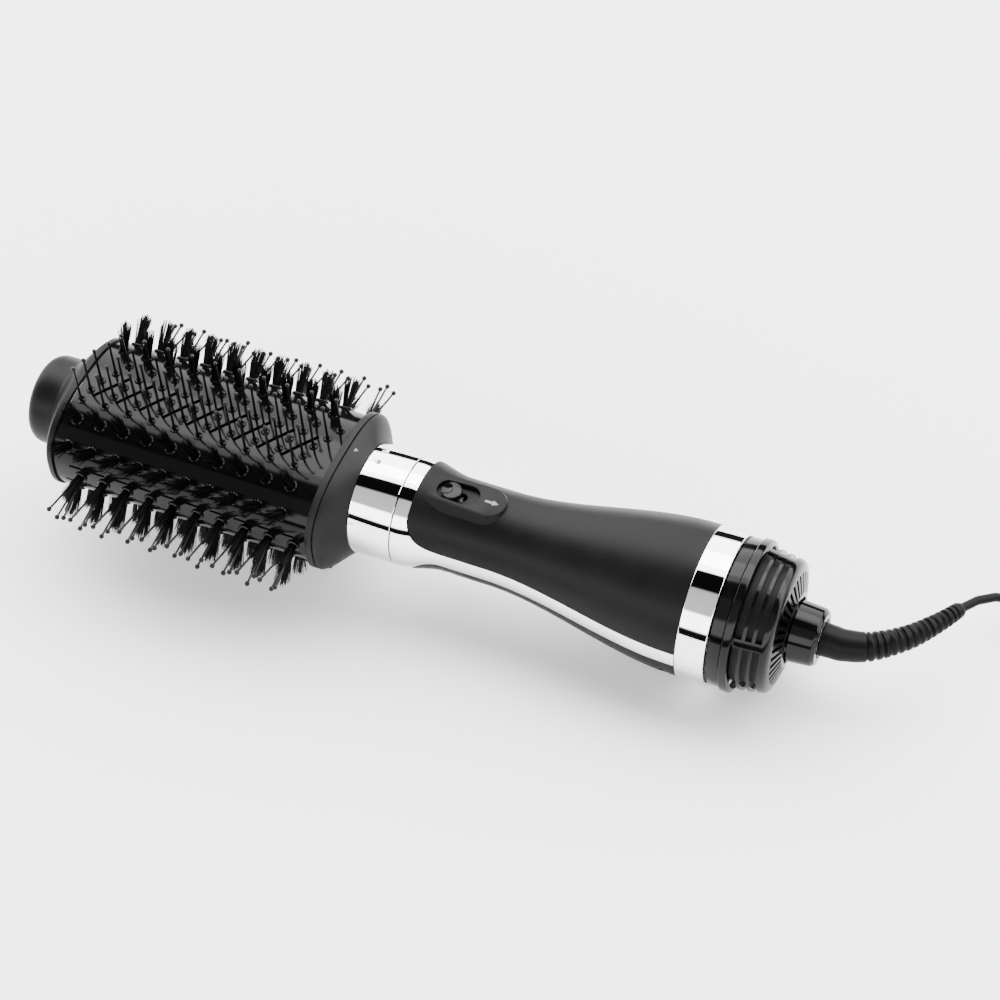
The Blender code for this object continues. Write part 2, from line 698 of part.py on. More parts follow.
def spring_wire(name, x_low, x_high, centre, radius, wire, turns, material=STEEL):
    """A round wire wound along X about a centre (y, z), with its inner side no nearer than the radius."""
    per_turn = 10
    count = turns * per_turn
    radius /= math.cos(math.pi / per_turn)
    curve = bpy.data.curves.new(name, "CURVE")
    curve.dimensions = "3D"
    curve.bevel_depth = wire
    curve.bevel_resolution = 1
    curve.use_fill_caps = True
    spline = curve.splines.new("POLY")
    spline.points.add(count)
    for i in range(count + 1):
        angle = 2 * math.pi * i / per_turn
        x = x_low + wire + (x_high - x_low - 2 * wire) * i / count
        y = centre[0] + radius * math.cos(angle)
        z = centre[1] + radius * math.sin(angle)
        spline.points[i].co = (x, y, z, 1.0)
    curve.materials.append(material)
    item = bpy.data.objects.new(name, curve)
    item.parent = AXIS
    PARTS.objects.link(item)
    return item


# The handle's outer pieces

def handle_stations(front, rear, count):
    return [front + (rear - front) * i / count for i in range(count + 1)]


def handle_solid(name, front, rear, material):
    outer = [(x, handle_radius(x)) for x in reversed(handle_stations(front, rear, 9))]
    return turned(name, [(rear, 0.0), *outer, (front, 0.0)], material, ring=False)


def handle_hollow(name):
    front, rear = X_BEZEL - 0.0010, X_BAND + 0.0010
    inner = [(x, handle_radius(x) - SHELL_WALL) for x in reversed(handle_stations(front, rear, 10))]
    return turned(name, [(rear, 0.0), *inner, (front, 0.0)], cutter=True, ring=False)


def shell_window(name, up, grow):
    """The part of the handle that one shell covers: all of its side but a round corner at the front."""
    front, rear = X_SHELL + GAP / 2 - grow, X_BAND - GAP / 2 + grow
    low = STRIP_HALF + GAP - grow
    radius = TONGUE_RADIUS
    tall = 2 * REAR_RADIUS
    corner = [(front + radius * (1 - math.cos(a)), low + radius * (1 - math.sin(a)))
              for a in (math.pi / 2 * i / 8 for i in range(9))]
    outline = [(front, tall), *corner, (rear, low), (rear, tall)]
    return prism(name, [(x, z * up) for x, z in outline], "Y", -2 * REAR_RADIUS, 2 * REAR_RADIUS,
                 cutter=True)


def screw_places():
    front, rear = X_SHELL + TONGUE_RADIUS + 0.0030, X_BAND - 0.0062
    for x in (front, rear):
        for side in (1, -1):
            yield x, side * (handle_radius(x) - SHELL_WALL - BOSS_RADIUS + 0.0010)


def make_handle():
    """Two shells that meet along a chrome trim, which is one piece with the bezel in front of them."""
    hollow = handle_hollow("handle_hollow")
    bossed = handle_hollow("bossed_hollow")
    for x, y in screw_places():
        cut(bossed, rod_along("screw_boss", (x, y, -REAR_RADIUS), (x, y, REAR_RADIUS), BOSS_RADIUS,
                              cutter=True))
    trim = handle_solid("chrome_trim", X_BEZEL + GAP / 2, X_BAND - GAP / 2, CHROME)
    cut(trim, hollow, shell_window("upper_trim_window", 1, GAP), shell_window("lower_trim_window", -1, GAP))
    shells = {}
    for name, up in (("upper_shell", 1), ("lower_shell", -1)):
        shell = handle_solid(name, X_SHELL, X_BAND, SOFT_BLACK)
        boolean(shell, shell_window(name + "_window", up, 0.0), "INTERSECT")
        cut(shell, bossed)
        shells[name] = shell
    add_pod(shells["upper_shell"], hollow)
    add_screws(shells["upper_shell"], shells["lower_shell"])


def add_pod(shell, hollow):
    """The raised flat that the release slider runs in, with its pocket and the slot for its post."""
    pod = pod_block(hollow)
    join(shell, pod)
    front, rear = BUTTON_X, BUTTON_X + BUTTON_TRAVEL + 0.0030
    pocket = stadium("slider_pocket", front, rear, BUTTON_RADIUS + RUNNING_GAP, POCKET_FLOOR,
                     POD_HEIGHT + 0.0020)
    slot = stadium("post_slot", front, BUTTON_X + BUTTON_TRAVEL, POST_RADIUS + RUNNING_GAP,
                   LATCH_TOP, POD_HEIGHT)
    cut(shell, pocket, slot)


def pod_block(hollow):
    """The pod: flat on top, with sides that lean out and a round rear end."""
    front, rear = X_SHELL + 0.0010, X_SHELL + POD_LENGTH
    top, base = POD_HEIGHT, WAIST_RADIUS * 0.72
    bm = bmesh.new()
    upper, lower = [], []
    for half, height, ring in ((POD_TOP_HALF_WIDTH, top, upper), (POD_BASE_HALF_WIDTH, base, lower)):
        reach = rear + (half - POD_TOP_HALF_WIDTH) * 0.8
        ring.append((front, -half, height))
        for i in range(9):
            angle = math.pi * (i / 8 - 0.5)
            ring.append((reach - half + half * math.cos(angle), half * math.sin(angle), height))
        ring.append((front, half, height))
    loops = [[bm.verts.new(point) for point in ring] for ring in (lower, upper)]
    bmesh.ops.contextual_create(bm, geom=loops[0])
    bmesh.ops.contextual_create(bm, geom=loops[1])
    count = len(upper)
    for i in range(count):
        j = (i + 1) % count
        bm.faces.new((loops[0][i], loops[0][j], loops[1][j], loops[1][i]))
    pod = place("slider_pod", mesh_from(bm, "slider_pod"), cutter=True)
    cut(pod, hollow)
    return pod


def stadium(name, front, rear, half_width, low, high):
    """A slot-shaped cutter with round ends, upright between two heights."""
    points = []
    for centre, start in ((rear, -math.pi / 2), (front, math.pi / 2)):
        for i in range(9):
            angle = start + math.pi * i / 8
            points.append((centre + half_width * math.cos(angle), half_width * math.sin(angle)))
    return prism(name, points, "Z", low, high, cutter=True)


def add_screws(upper, lower):
    """Four screws go up through the lower shell's bosses into the upper shell's."""
    for number, (x, y) in enumerate(screw_places(), 1):
        surface = math.sqrt(handle_radius(x) ** 2 - (abs(y) + SCREW_HEAD_RADIUS) ** 2)
        head = -surface + 0.0032
        bore = SCREW_RADIUS + GAP
        cut(lower, rod_along("screw_hole", (x, y, -REAR_RADIUS), (x, y, 0), bore, cutter=True, sides=10),
            rod_along("screw_recess", (x, y, -REAR_RADIUS), (x, y, head), SCREW_HEAD_RADIUS + GAP,
                      cutter=True))
        tip = 0.0080
        cut(upper, rod_along("screw_pilot", (x, y, 0), (x, y, tip + GAP), bore, cutter=True, sides=10))
        screw = rod_along(f"shell_screw_{number}", (x, y, head - 0.0012), (x, y, tip), SCREW_RADIUS, STEEL,
                          sides=8)
        join(screw, rod_along("screw_head", (x, y, head - 0.0022), (x, y, head - GAP),
                              SCREW_HEAD_RADIUS, cutter=True))


def make_rear_band():
    front, rear = X_BAND + GAP / 2, X_DIAL - GAP / 2
    bore = BAND_RADIUS - SHELL_WALL
    edge = BAND_EDGE
    turned("rear_band", (
        (rear, bore), (rear, BAND_RADIUS - edge), (rear - edge, BAND_RADIUS), (front + edge, BAND_RADIUS),
        (front, BAND_RADIUS - edge), (front, bore)), CHROME)
    low, high = X_BAND + 0.0010, X_BAND + 0.0035
    frame = tube("rear_frame", low, high, WIRE_BORE, bore - GAP, SOFT_BLACK)
    for i in range(3):
        cut(frame, sector("frame_window", 0.0160, 0.0270, 120 * i + 72, 120 * i + 168,
                          low - 0.0010, high + 0.0010))
    for side in (1, -1):
        join(frame, rod_along("board_post", (board_rear() + GAP, side * 0.0030, -0.0195),
                              (low + 0.0010, side * 0.0030, -0.0195), 0.0016, cutter=True, sides=8))
    tube("rotary_switch", high + GAP, X_DIAL - 0.0006, WIRE_BORE, 0.0135, GLOSS_BLACK, steps=24)
    block("circuit_board", (board_rear() - 0.0016, -0.0150, -0.0230), (board_rear(), 0.0150, -0.0090),
          BOARD)


def board_rear():
    return X_BAND - 0.0040


def make_control_dial():
    """A gloss ring that turns on the handle, with a spoked web that drives the switch."""
    front, rear = X_DIAL + GAP / 2, X_GRILLE - GAP / 2
    edge = 0.0005
    rim = DIAL_RADIUS - 0.0045
    web = front + 0.0024
    hub = WIRE_BORE + 0.0040
    dial = turned("control_dial", (
        (rear, rim), (rear, DIAL_RADIUS - edge), (rear - edge, DIAL_RADIUS), (front + edge, DIAL_RADIUS),
        (front, DIAL_RADIUS - edge), (front, rim), (front + 0.0006, rim - 0.0006), (front + 0.0006, hub),
        (front, hub), (front, WIRE_BORE), (web + 0.0020, WIRE_BORE), (web + 0.0020, hub), (web, hub),
        (web, rim - 0.0006)), GLOSS_BLACK)
    for i in range(3):
        cut(dial, sector("dial_window", hub + 0.0020, rim - 0.0016, 120 * i + 12, 120 * i + 108,
                         front - 0.0010, web + 0.0010))


def make_grille():
    """The intake: a lip, a slotted wall and a domed rear face with radial slots, and a mesh behind them."""
    front, rear = X_GRILLE + GAP / 2, X_HUB - GAP / 2
    lip, face = front + GRILLE_LIP_LENGTH, rear - GRILLE_FACE_DEPTH
    edge = 0.0006
    rim = face - 4.5 * edge
    bore = SLEEVE_RADIUS + RUNNING_GAP
    wall = GRILLE_WALL
    outer = [(rear, HUB_RADIUS + 2 * edge), (face, GRILLE_FACE_RADIUS),
             (face - 1.5 * edge, (GRILLE_FACE_RADIUS + GRILLE_END_RADIUS) / 2 + edge),
             (rim, GRILLE_END_RADIUS), (lip + edge, GRILLE_RADIUS), (lip, GRILLE_LIP_RADIUS - edge),
             (lip - edge, GRILLE_LIP_RADIUS), (front, GRILLE_LIP_RADIUS)]
    inner = [(front, GRILLE_RADIUS - wall), (lip, GRILLE_RADIUS - wall), (rim, GRILLE_END_RADIUS - wall),
             (face - wall, GRILLE_FACE_RADIUS - wall), (rear - wall, HUB_RADIUS), (rear - wall, bore),
             (rear, bore)]
    grille = turned("intake_grille", outer + inner, GLOSS_BLACK)
    for row in range(SLOT_ROWS):
        low = lip + edge + row * SLOT_PITCH
        for i in range(4):
            start = 90 * i - 34
            cut(grille, sector("side_slot", 0.0240, 0.0360, start, start + 82, low, low + SLOT_WIDTH))
    for i in range(8):
        middle = math.radians(45 * i + 7)
        cut(grille, block("face_slot", (face - 0.0040, -0.0012, 0.0165), (rear + 0.0010, 0.0012, 0.0240),
                          cutter=True, turn=middle))
    gap = wall + GAP
    low, high = front + 0.0010, rim - 0.0006
    turned("intake_screen", (
        (high, GRILLE_END_RADIUS - gap - 0.0006), (high, GRILLE_END_RADIUS - gap),
        (low, GRILLE_RADIUS - gap), (low, GRILLE_RADIUS - gap - 0.0006)), STEEL)


def make_swivel():
    """The hub behind the grille, and the sleeve that turns in it and holds the strain relief."""
    front, rear = X_HUB + GAP / 2, X_EXIT
    bore = SLEEVE_RADIUS + RUNNING_GAP
    turned("swivel_hub", (
        (rear, bore), (rear, HUB_END_RADIUS), (rear - 0.0016, HUB_RADIUS - 0.0008),
        (front, HUB_RADIUS), (front, bore)), GLOSS_BLACK)
    flange = front - GAP - GRILLE_WALL - RUNNING_GAP
    turned("swivel_sleeve", (
        (rear, 0.0052), (rear, SLEEVE_RADIUS), (flange, SLEEVE_RADIUS), (flange, SLEEVE_RADIUS + 0.0026),
        (flange - 0.0022, SLEEVE_RADIUS + 0.0026), (flange - 0.0022, 0.0052)), RUBBER, steps=24)


# Inside the handle

def make_duct():
    front, flange = X_BEZEL - 0.0008, duct_flange()
    wall = 0.0012
    reach = WAIST_RADIUS - SHELL_WALL - GAP
    turned("air_duct", (
        (flange + 0.0020, DUCT_RADIUS - wall), (flange + 0.0020, reach), (flange, reach),
        (flange, DUCT_RADIUS), (front, DUCT_RADIUS), (front, DUCT_RADIUS - wall)), NYLON, steps=24)


def make_heater():
    """A crossed mica frame with a resistance coil round it, inside a thin shield."""
    front = duct_flange() + 0.0020 + GAP
    rear = front + SHIELD_LENGTH
    wall = 0.0006
    bore = SHIELD_RADIUS - wall
    tube("heat_shield", front, rear, bore, SHIELD_RADIUS, MICA, steps=24)
    low, high = front + 0.0010, rear - 0.0010
    half = MICA_THICKNESS / 2
    frame = block("mica_frame", (low, -MICA_HALF, -half), (high, MICA_HALF, half), MICA)
    join(frame, block("mica_fin", (low, -half, -MICA_HALF), (high, half, MICA_HALF), cutter=True))
    foot = bore - GAP - 0.0001
    for x in (low, high - 0.0020):
        join(frame, block("mica_foot", (x, -foot, -half), (x + 0.0020, foot, half), cutter=True),
             block("mica_foot", (x, -half, -foot), (x + 0.0020, half, foot), cutter=True))
    spring_wire("heater_coil", low + 0.0035, high - 0.0035, (0.0, 0.0),
                MICA_HALF + GAP + HEATER_WIRE_RADIUS, HEATER_WIRE_RADIUS, HEATER_TURNS)
    near = half + GAP
    block("thermostat", (low + 0.0100, near, near), (low + 0.0180, near + 0.0055, near + 0.0050), STEEL)
    centre = near + 0.0015
    rod_along("thermal_fuse", (low + 0.0100, -centre, centre), (low + 0.0200, -centre, centre), 0.0015,
              CERAMIC, sides=10)


def make_fan():
    """The motor, the carrier that holds it in the duct, and the axial impeller on its shaft."""
    front = duct_flange() + 0.0020 + GAP + SHIELD_LENGTH + GAP
    rear = front + 0.0370
    wall = CARRIER_WALL
    reach = handle_radius(rear - 0.0020) - SHELL_WALL - 0.0005
    throat = SHIELD_RADIUS + 0.0004
    carrier = turned("motor_carrier", (
        (rear, CARRIER_RADIUS - wall), (rear, reach), (rear - 0.0020, reach), (rear - 0.0020, CARRIER_RADIUS),
        (front + 0.0080, CARRIER_RADIUS), (front, throat), (front, throat - wall),
        (front + 0.0080, CARRIER_RADIUS - wall)), NYLON)
    motor_front = front + 0.0030
    arm = motor_front + 0.0070
    hoop = MOTOR_RADIUS + GAP
    for i in range(4):
        join(carrier, block("carrier_arm", (arm, -0.0008, hoop + 0.0004),
                            (arm + 0.0050, 0.0008, CARRIER_RADIUS - 0.0007), cutter=True,
                            turn=math.pi / 2 * (i + 0.5)))
    join(carrier, tube("carrier_hoop", arm, arm + 0.0050, hoop, hoop + 0.0016, cutter=True, steps=24))
    end = motor_front + MOTOR_LENGTH
    bore = SHAFT_RADIUS + RUNNING_GAP
    turned("fan_motor", (
        (end, bore), (end, 0.0040), (end - 0.0015, 0.0040), (end - 0.0015, MOTOR_RADIUS - 0.0010),
        (end - 0.0025, MOTOR_RADIUS), (motor_front + 0.0010, MOTOR_RADIUS),
        (motor_front, MOTOR_RADIUS - 0.0010), (motor_front, bore)), STEEL, steps=24)
    hub_front = end + 0.0008
    hub_rear = hub_front + 0.0085
    impeller = turned("fan_impeller", (
        (hub_rear, 0.0), (hub_rear, 0.0070), (hub_rear - 0.0030, 0.0090), (hub_front, 0.0090),
        (hub_front, SHAFT_RADIUS), (motor_front + 0.0040, SHAFT_RADIUS), (motor_front + 0.0040, 0.0)),
        NYLON, steps=24, ring=False)
    for i in range(FAN_BLADES):
        join(impeller, fan_blade((hub_front + hub_rear) / 2, 2 * math.pi * i / FAN_BLADES))


def fan_blade(x, turn):
    """One flat blade, set at a pitch across the hub."""
    bm = bmesh.new()
    root, tip = 0.0080, FAN_RADIUS
    size = Matrix.Diagonal((0.0009, 0.0092, tip - root, 1.0))
    pitch = Matrix.Rotation(math.radians(-42), 4, "Z")
    middle = Matrix.Translation((x, 0, (root + tip) / 2))
    bmesh.ops.create_cube(bm, size=1.0, matrix=Matrix.Rotation(turn, 4, "X") @ middle @ pitch @ size)
    return place("fan_blade", mesh_from(bm, "fan_blade"), cutter=True)


# The lead

def lay_axis():
    """Tilts the axis so that the lower pins and the widest rear ring both touch the table."""
    tilt = 0.0
    for _ in range(6):
        contact = rear_contact(tilt)
        pin = last_pin_contact(tilt)
        tilt += math.atan2(pin[1] - contact[1], contact[0] - pin[0])
    height = rear_contact(tilt)[1]
    reach = turned_down(X_EXIT, -HUB_END_RADIUS, tilt)[0]
    start = turned_down(0.0, TIP_FACE_RADIUS, tilt)[0]
    AXIS.rotation_euler = (0.0, tilt, 0.0)
    AXIS.location = (-(reach + start) / 2, 0.0, height)


def rear_contact(tilt):
    """The lowest point of the rear band or the grille's lip, as (x, drop) from the axis' front end."""
    band = turned_down(X_DIAL - GAP / 2 - BAND_EDGE, BAND_RADIUS, tilt)
    lip = turned_down(X_GRILLE + GAP / 2 + GRILLE_LIP_LENGTH, GRILLE_LIP_RADIUS, tilt)
    return max(band, lip, key=lambda point: point[1])


def last_pin_contact(tilt):
    x = max(PIN_ROW_STARTS) + (PINS_IN_ROW - 1) * PIN_PITCH + PIN_BALL_HALF
    return turned_down(x, pin_reach(), tilt)


def turned_down(x, below, tilt):
    """Where a point this far along and below the axis comes to, as (x, drop), when the rear is tilted down."""
    return (x * math.cos(tilt) - below * math.sin(tilt), x * math.sin(tilt) + below * math.cos(tilt))


def smooth_points(route, spacing):
    """Points at even spacing along a smooth curve through a route's own points."""
    fine = []
    ends = [2 * route[0] - route[1], *route, 2 * route[-1] - route[-2]]
    for a, b, c, d in zip(ends, ends[1:], ends[2:], ends[3:]):
        for i in range(24):
            t = i / 24
            fine.append(0.5 * (2 * b + (c - a) * t + (2 * a - 5 * b + 4 * c - d) * t ** 2
                               + (3 * b - a - 3 * c + d) * t ** 3))
    fine.append(route[-1])
    length = sum((b - a).length for a, b in zip(fine, fine[1:]))
    count = max(2, round(length / spacing))
    points, travelled, target = [fine[0]], 0.0, length / count
    for a, b in zip(fine, fine[1:]):
        step = (b - a).length
        while travelled + step >= target - 1e-9 and len(points) < count:
            points.append(a.lerp(b, (target - travelled) / step))
            target += length / count
        travelled += step
    points.append(fine[-1])
    return points


def lead_tube(name, points, radii, material):
    curve = bpy.data.curves.new(name, "CURVE")
    curve.dimensions = "3D"
    curve.bevel_depth = 1.0
    curve.bevel_resolution = 2
    curve.use_fill_caps = True
    spline = curve.splines.new("POLY")
    spline.points.add(len(points) - 1)
    for point, co, radius in zip(spline.points, points, radii):
        point.co = (*co, 1.0)
        point.radius = radius
    curve.materials.append(material)
    item = bpy.data.objects.new(name, curve)
    PARTS.objects.link(item)
    return item


def make_lead():
    """The strain relief, the free lead, its coil and its plug, all laid on the table beyond the hub."""
    bpy.context.view_layer.update()
    exit_point = AXIS.matrix_world @ Vector((X_EXIT + GAP, 0, 0))
    along = (AXIS.matrix_world.to_3x3() @ Vector((1, 0, 0))).normalized()
    bend = [exit_point, exit_point + along * 0.0040, *[exit_point + Vector(p) for p in RELIEF_ROUTE]]
    relief = smooth_points(bend, 0.0045)
    count = len(relief) - 1
    radii = [RELIEF_START_RADIUS + (RELIEF_END_RADIUS - RELIEF_START_RADIUS) * i / count
             for i in range(count + 1)]
    lead_tube("strain_relief", relief, radii, RUBBER)
    radius = CORD_DIAMETER / 2
    ahead = (relief[-1] - relief[-2]).normalized()
    floor = [Vector((exit_point.x + x, exit_point.y + y, max(exit_point.z + z, radius)))
             for x, y, z in CORD_ROUTE]
    start = relief[-1] + ahead * GAP
    lead = smooth_points([start, start + ahead * 0.0020, *floor], 0.0085)
    lead_tube("cord_lead", lead, [radius] * len(lead), RUBBER)
    make_coil_and_plug(lead[-1], (lead[-1] - lead[-2]).normalized())


def make_coil_and_plug(end, heading):
    """The spare length as one ring on the table, which the lead meets from the side, and the plug beside it."""
    heading.z = 0.0
    heading.normalize()
    side = Vector((-heading.y, heading.x, 0.0))
    outer = COIL_RADIUS + COIL_HALF_WIDTH
    centre = end + side * (outer + CORD_DIAMETER / 2 + GAP)
    ring = turned("cord_coil", (
        (COIL_HEIGHT, COIL_RADIUS - COIL_HALF_WIDTH + 0.0030), (COIL_HEIGHT, outer - 0.0030),
        (COIL_HEIGHT - 0.0030, outer), (0.0030, outer), (0.0, outer - 0.0030),
        (0.0, COIL_RADIUS - COIL_HALF_WIDTH + 0.0030), (0.0030, COIL_RADIUS - COIL_HALF_WIDTH),
        (COIL_HEIGHT - 0.0030, COIL_RADIUS - COIL_HALF_WIDTH)), RUBBER, steps=28)
    ring.parent = None
    ring.rotation_euler = (0.0, 0.0, 0.0)
    ring.location = (centre.x, centre.y, 0.0)
    turn = Matrix.Rotation(math.atan2(heading.y, heading.x), 4, "Z")
    base = (Matrix.Translation((centre.x, centre.y, PLUG_THICKNESS / 2)) @ turn
            @ Matrix.Translation((0, -TAIL_RADIUS, 0)))
    reach = math.sqrt((outer + GAP) ** 2 - (TAIL_RADIUS - PLUG_WIDTH / 2) ** 2) + PLUG_LENGTH / 2
    plug = block("plug_body", (-PLUG_LENGTH / 2, -PLUG_WIDTH / 2, -PLUG_THICKNESS / 2),
                 (PLUG_LENGTH / 2, PLUG_WIDTH / 2, PLUG_THICKNESS / 2), RUBBER, bevel=0.0025)
    plug.parent = None
    plug.matrix_world = base @ Matrix.Translation((reach, 0, 0))
    for number, across in enumerate((-0.00635, 0.00635), 1):
        blade = block(f"plug_blade_{number}", (-0.0080, -0.00075, -0.0032), (0.0080, 0.00075, 0.0032), BRASS)
        blade.parent = None
        blade.matrix_world = base @ Matrix.Translation(
            (reach + PLUG_LENGTH / 2 + GAP + 0.0080, across, 0))


make_cool_tip()
make_barrel()
make_pin_plates()
make_tuft_rails()
make_head_core()
make_head_rear()
make_lock()
make_release_slider()
make_handle()
make_rear_band()
make_control_dial()
make_grille()
make_swivel()
make_duct()
make_heater()
make_fan()
lay_axis()
make_lead()
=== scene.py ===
"""The hot air brush as it looks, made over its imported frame.

Each shape is built in the brush's own frame, along +X from the cool tip, and PLACE lays it on the table.
Angles around the brush are measured from the top (+Z) towards the near side (-Y).
"""

import json
import math
import random

import bmesh
import bpy
from mathutils import Matrix, Vector

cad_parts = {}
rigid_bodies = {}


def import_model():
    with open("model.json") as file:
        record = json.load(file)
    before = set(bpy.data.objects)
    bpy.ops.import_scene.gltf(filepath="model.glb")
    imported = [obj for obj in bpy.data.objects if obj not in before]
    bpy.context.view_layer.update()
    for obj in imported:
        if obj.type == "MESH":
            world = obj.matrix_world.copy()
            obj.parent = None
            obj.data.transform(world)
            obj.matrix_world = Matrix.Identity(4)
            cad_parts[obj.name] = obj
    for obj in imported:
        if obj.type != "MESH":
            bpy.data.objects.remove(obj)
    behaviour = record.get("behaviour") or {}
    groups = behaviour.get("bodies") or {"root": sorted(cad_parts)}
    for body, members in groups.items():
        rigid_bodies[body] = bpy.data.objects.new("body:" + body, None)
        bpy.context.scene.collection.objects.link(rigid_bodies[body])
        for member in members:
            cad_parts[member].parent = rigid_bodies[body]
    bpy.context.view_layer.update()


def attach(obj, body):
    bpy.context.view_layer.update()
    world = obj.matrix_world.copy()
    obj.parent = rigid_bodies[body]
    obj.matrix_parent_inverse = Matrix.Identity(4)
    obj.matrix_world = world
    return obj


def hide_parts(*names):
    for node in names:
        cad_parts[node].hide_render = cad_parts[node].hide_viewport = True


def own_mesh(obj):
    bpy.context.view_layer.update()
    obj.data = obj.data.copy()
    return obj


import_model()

# How the brush lies
BRUSH_AT = (-0.1834607, 0.0, 0.0521203)
BRUSH_TILT = 0.0562095
PLACE = Matrix.Translation(BRUSH_AT) @ Matrix.Rotation(BRUSH_TILT, 4, "Y")
GAP = 0.0003

# Stations along the axis
X_BARREL = 0.0240
X_RIM = 0.1480
X_COLLAR = 0.1516
X_LOCK = 0.1616
X_BEZEL = 0.1816
X_SHELL = 0.1878
X_BAND = 0.3148
X_DIAL = 0.3278
X_GRILLE = 0.3336
X_HUB = 0.3560
X_EXIT = 0.3678

# Sections
BARREL_HALF = (0.0360, 0.0235)
OVAL_POWER = 2.5
BARREL_WALL = 0.0018
RIM_PROUD = 0.0021
TIP_RIM_PROUD = 0.0009
TIP_RADIUS = 0.0205
LOCK_RADIUS = 0.0247
WAIST_RADIUS = 0.0210
REAR_RADIUS = 0.0331
SHELL_WALL = 0.0022
STRIP_HALF = 0.0038
TONGUE_RADIUS = 0.0160
BAND_RADIUS = 0.0338
DIAL_RADIUS = 0.0321
GRILLE_LIP_RADIUS = 0.0332
GRILLE_RADIUS = 0.0310
GRILLE_END_RADIUS = 0.0292
GRILLE_FACE_RADIUS = 0.0260
HUB_RADIUS = 0.0134
HUB_END_RADIUS = 0.0112
HUB_BORE = 0.0086

# Pins and tufts
PIN_PITCH = 0.0116
PINS_IN_ROW = 10
PIN_ROW_SPACING = 0.00625
PIN_ROW_STARTS = (0.0286, 0.0299, 0.0319, 0.0357, 0.0388)
PIN_REACH = 0.0441
TUFT_ANGLES = (20, 50, 90, 130, 160)
TUFT_STARTS = (0.0312, 0.0312, 0.0371, 0.0312, 0.0312)
BRISTLES = 80

# Slider
POD_HEIGHT = 0.0226
POD_TOP_HALF = 0.0078
POD_BASE_HALF = 0.0116
POD_LENGTH = 0.0385
BUTTON_X = X_SHELL + 0.0137
BUTTON_RADIUS = 0.0045
BUTTON_TRAVEL = 0.0050

# Lead
CORD_DIAMETER = 0.0040
RELIEF_RADII = (0.0072, 0.0033)
RELIEF_ROUTE = (
    (0.0090, 0.0002, -0.0006),
    (0.0190, 0.0036, -0.0014),
    (0.0310, 0.0136, -0.0029),
    (0.0400, 0.0262, -0.0050),
    (0.0470, 0.0396, -0.0078),
)
CORD_ROUTE = (
    (0.0530, 0.0490, -0.0105),
    (0.0610, 0.0560, -0.0143),
    (0.0720, 0.0600, -0.0192),
    (0.0860, 0.0600, -0.0245),
    (0.1010, 0.0560, -0.0280),
    (0.1160, 0.0500, -0.0291),
    (0.1300, 0.0440, -0.0291),
)
COIL_OUTER = 0.0315
TAIL_RADIUS = 0.0359
PLUG_SIZE = (0.0300, 0.0230, 0.0140)

rng = random.Random(7)


# Materials

def shared_group(name, inputs, outputs):
    """An empty shader node group, with (name, default) inputs and named float outputs."""
    tree = bpy.data.node_groups.new(name, "ShaderNodeTree")
    for title, default in inputs:
        kind = "NodeSocketVector" if default is None else "NodeSocketFloat"
        socket = tree.interface.new_socket(title, in_out="INPUT", socket_type=kind)
        if default is not None:
            socket.default_value = default
    for title in outputs:
        tree.interface.new_socket(title, in_out="OUTPUT", socket_type="NodeSocketFloat")
    return tree, tree.nodes.new("NodeGroupInput"), tree.nodes.new("NodeGroupOutput")


def noise_node(tree, vector, scale, detail=4.0, rough=0.55):
    node = tree.nodes.new("ShaderNodeTexNoise")
    node.inputs["Detail"].default_value = detail
    node.inputs["Roughness"].default_value = rough
    tree.links.new(vector, node.inputs["Vector"])
    if isinstance(scale, (int, float)):
        node.inputs["Scale"].default_value = scale
    else:
        tree.links.new(scale, node.inputs["Scale"])
    return node.outputs["Fac"]


def maths(tree, operation, first, second=0.0, clamp=False):
    node = tree.nodes.new("ShaderNodeMath")
    node.operation = operation
    node.use_clamp = clamp
    for socket, value in zip(node.inputs, (first, second)):
        if isinstance(value, (int, float)):
            socket.default_value = value
        else:
            tree.links.new(value, socket)
    return node.outputs[0]


def remap(tree, value, low, high, to_low=0.0, to_high=1.0):
    node = tree.nodes.new("ShaderNodeMapRange")
    node.clamp = True
    tree.links.new(value, node.inputs["Value"])
    for title, number in (("From Min", low), ("From Max", high), ("To Min", to_low), ("To Max", to_high)):
        node.inputs[title].default_value = number
    return node.outputs[0]


def make_grain_group():
    """Fine moulded texture: a pebbled height with a broader unevenness under it."""
    tree, given, made = shared_group(
        "moulded_grain", (("Vector", None), ("Scale", 2500.0)), ("Height", "Patch"))
    cells = tree.nodes.new("ShaderNodeTexVoronoi")
    cells.feature = "SMOOTH_F1"
    tree.links.new(given.outputs["Vector"], cells.inputs["Vector"])
    tree.links.new(given.outputs["Scale"], cells.inputs["Scale"])
    finer = maths(tree, "MULTIPLY", given.outputs["Scale"], 1.7)
    fine = noise_node(tree, given.outputs["Vector"], finer, 2.0)
    pebbles = maths(tree, "MULTIPLY", cells.outputs["Distance"], 0.6)
    height = maths(tree, "ADD", pebbles, maths(tree, "MULTIPLY", fine, 0.4))
    patch = noise_node(tree, given.outputs["Vector"], 55.0, 3.0)
    tree.links.new(height, made.inputs["Height"])
    tree.links.new(remap(tree, patch, 0.3, 0.7), made.inputs["Patch"])
    return tree


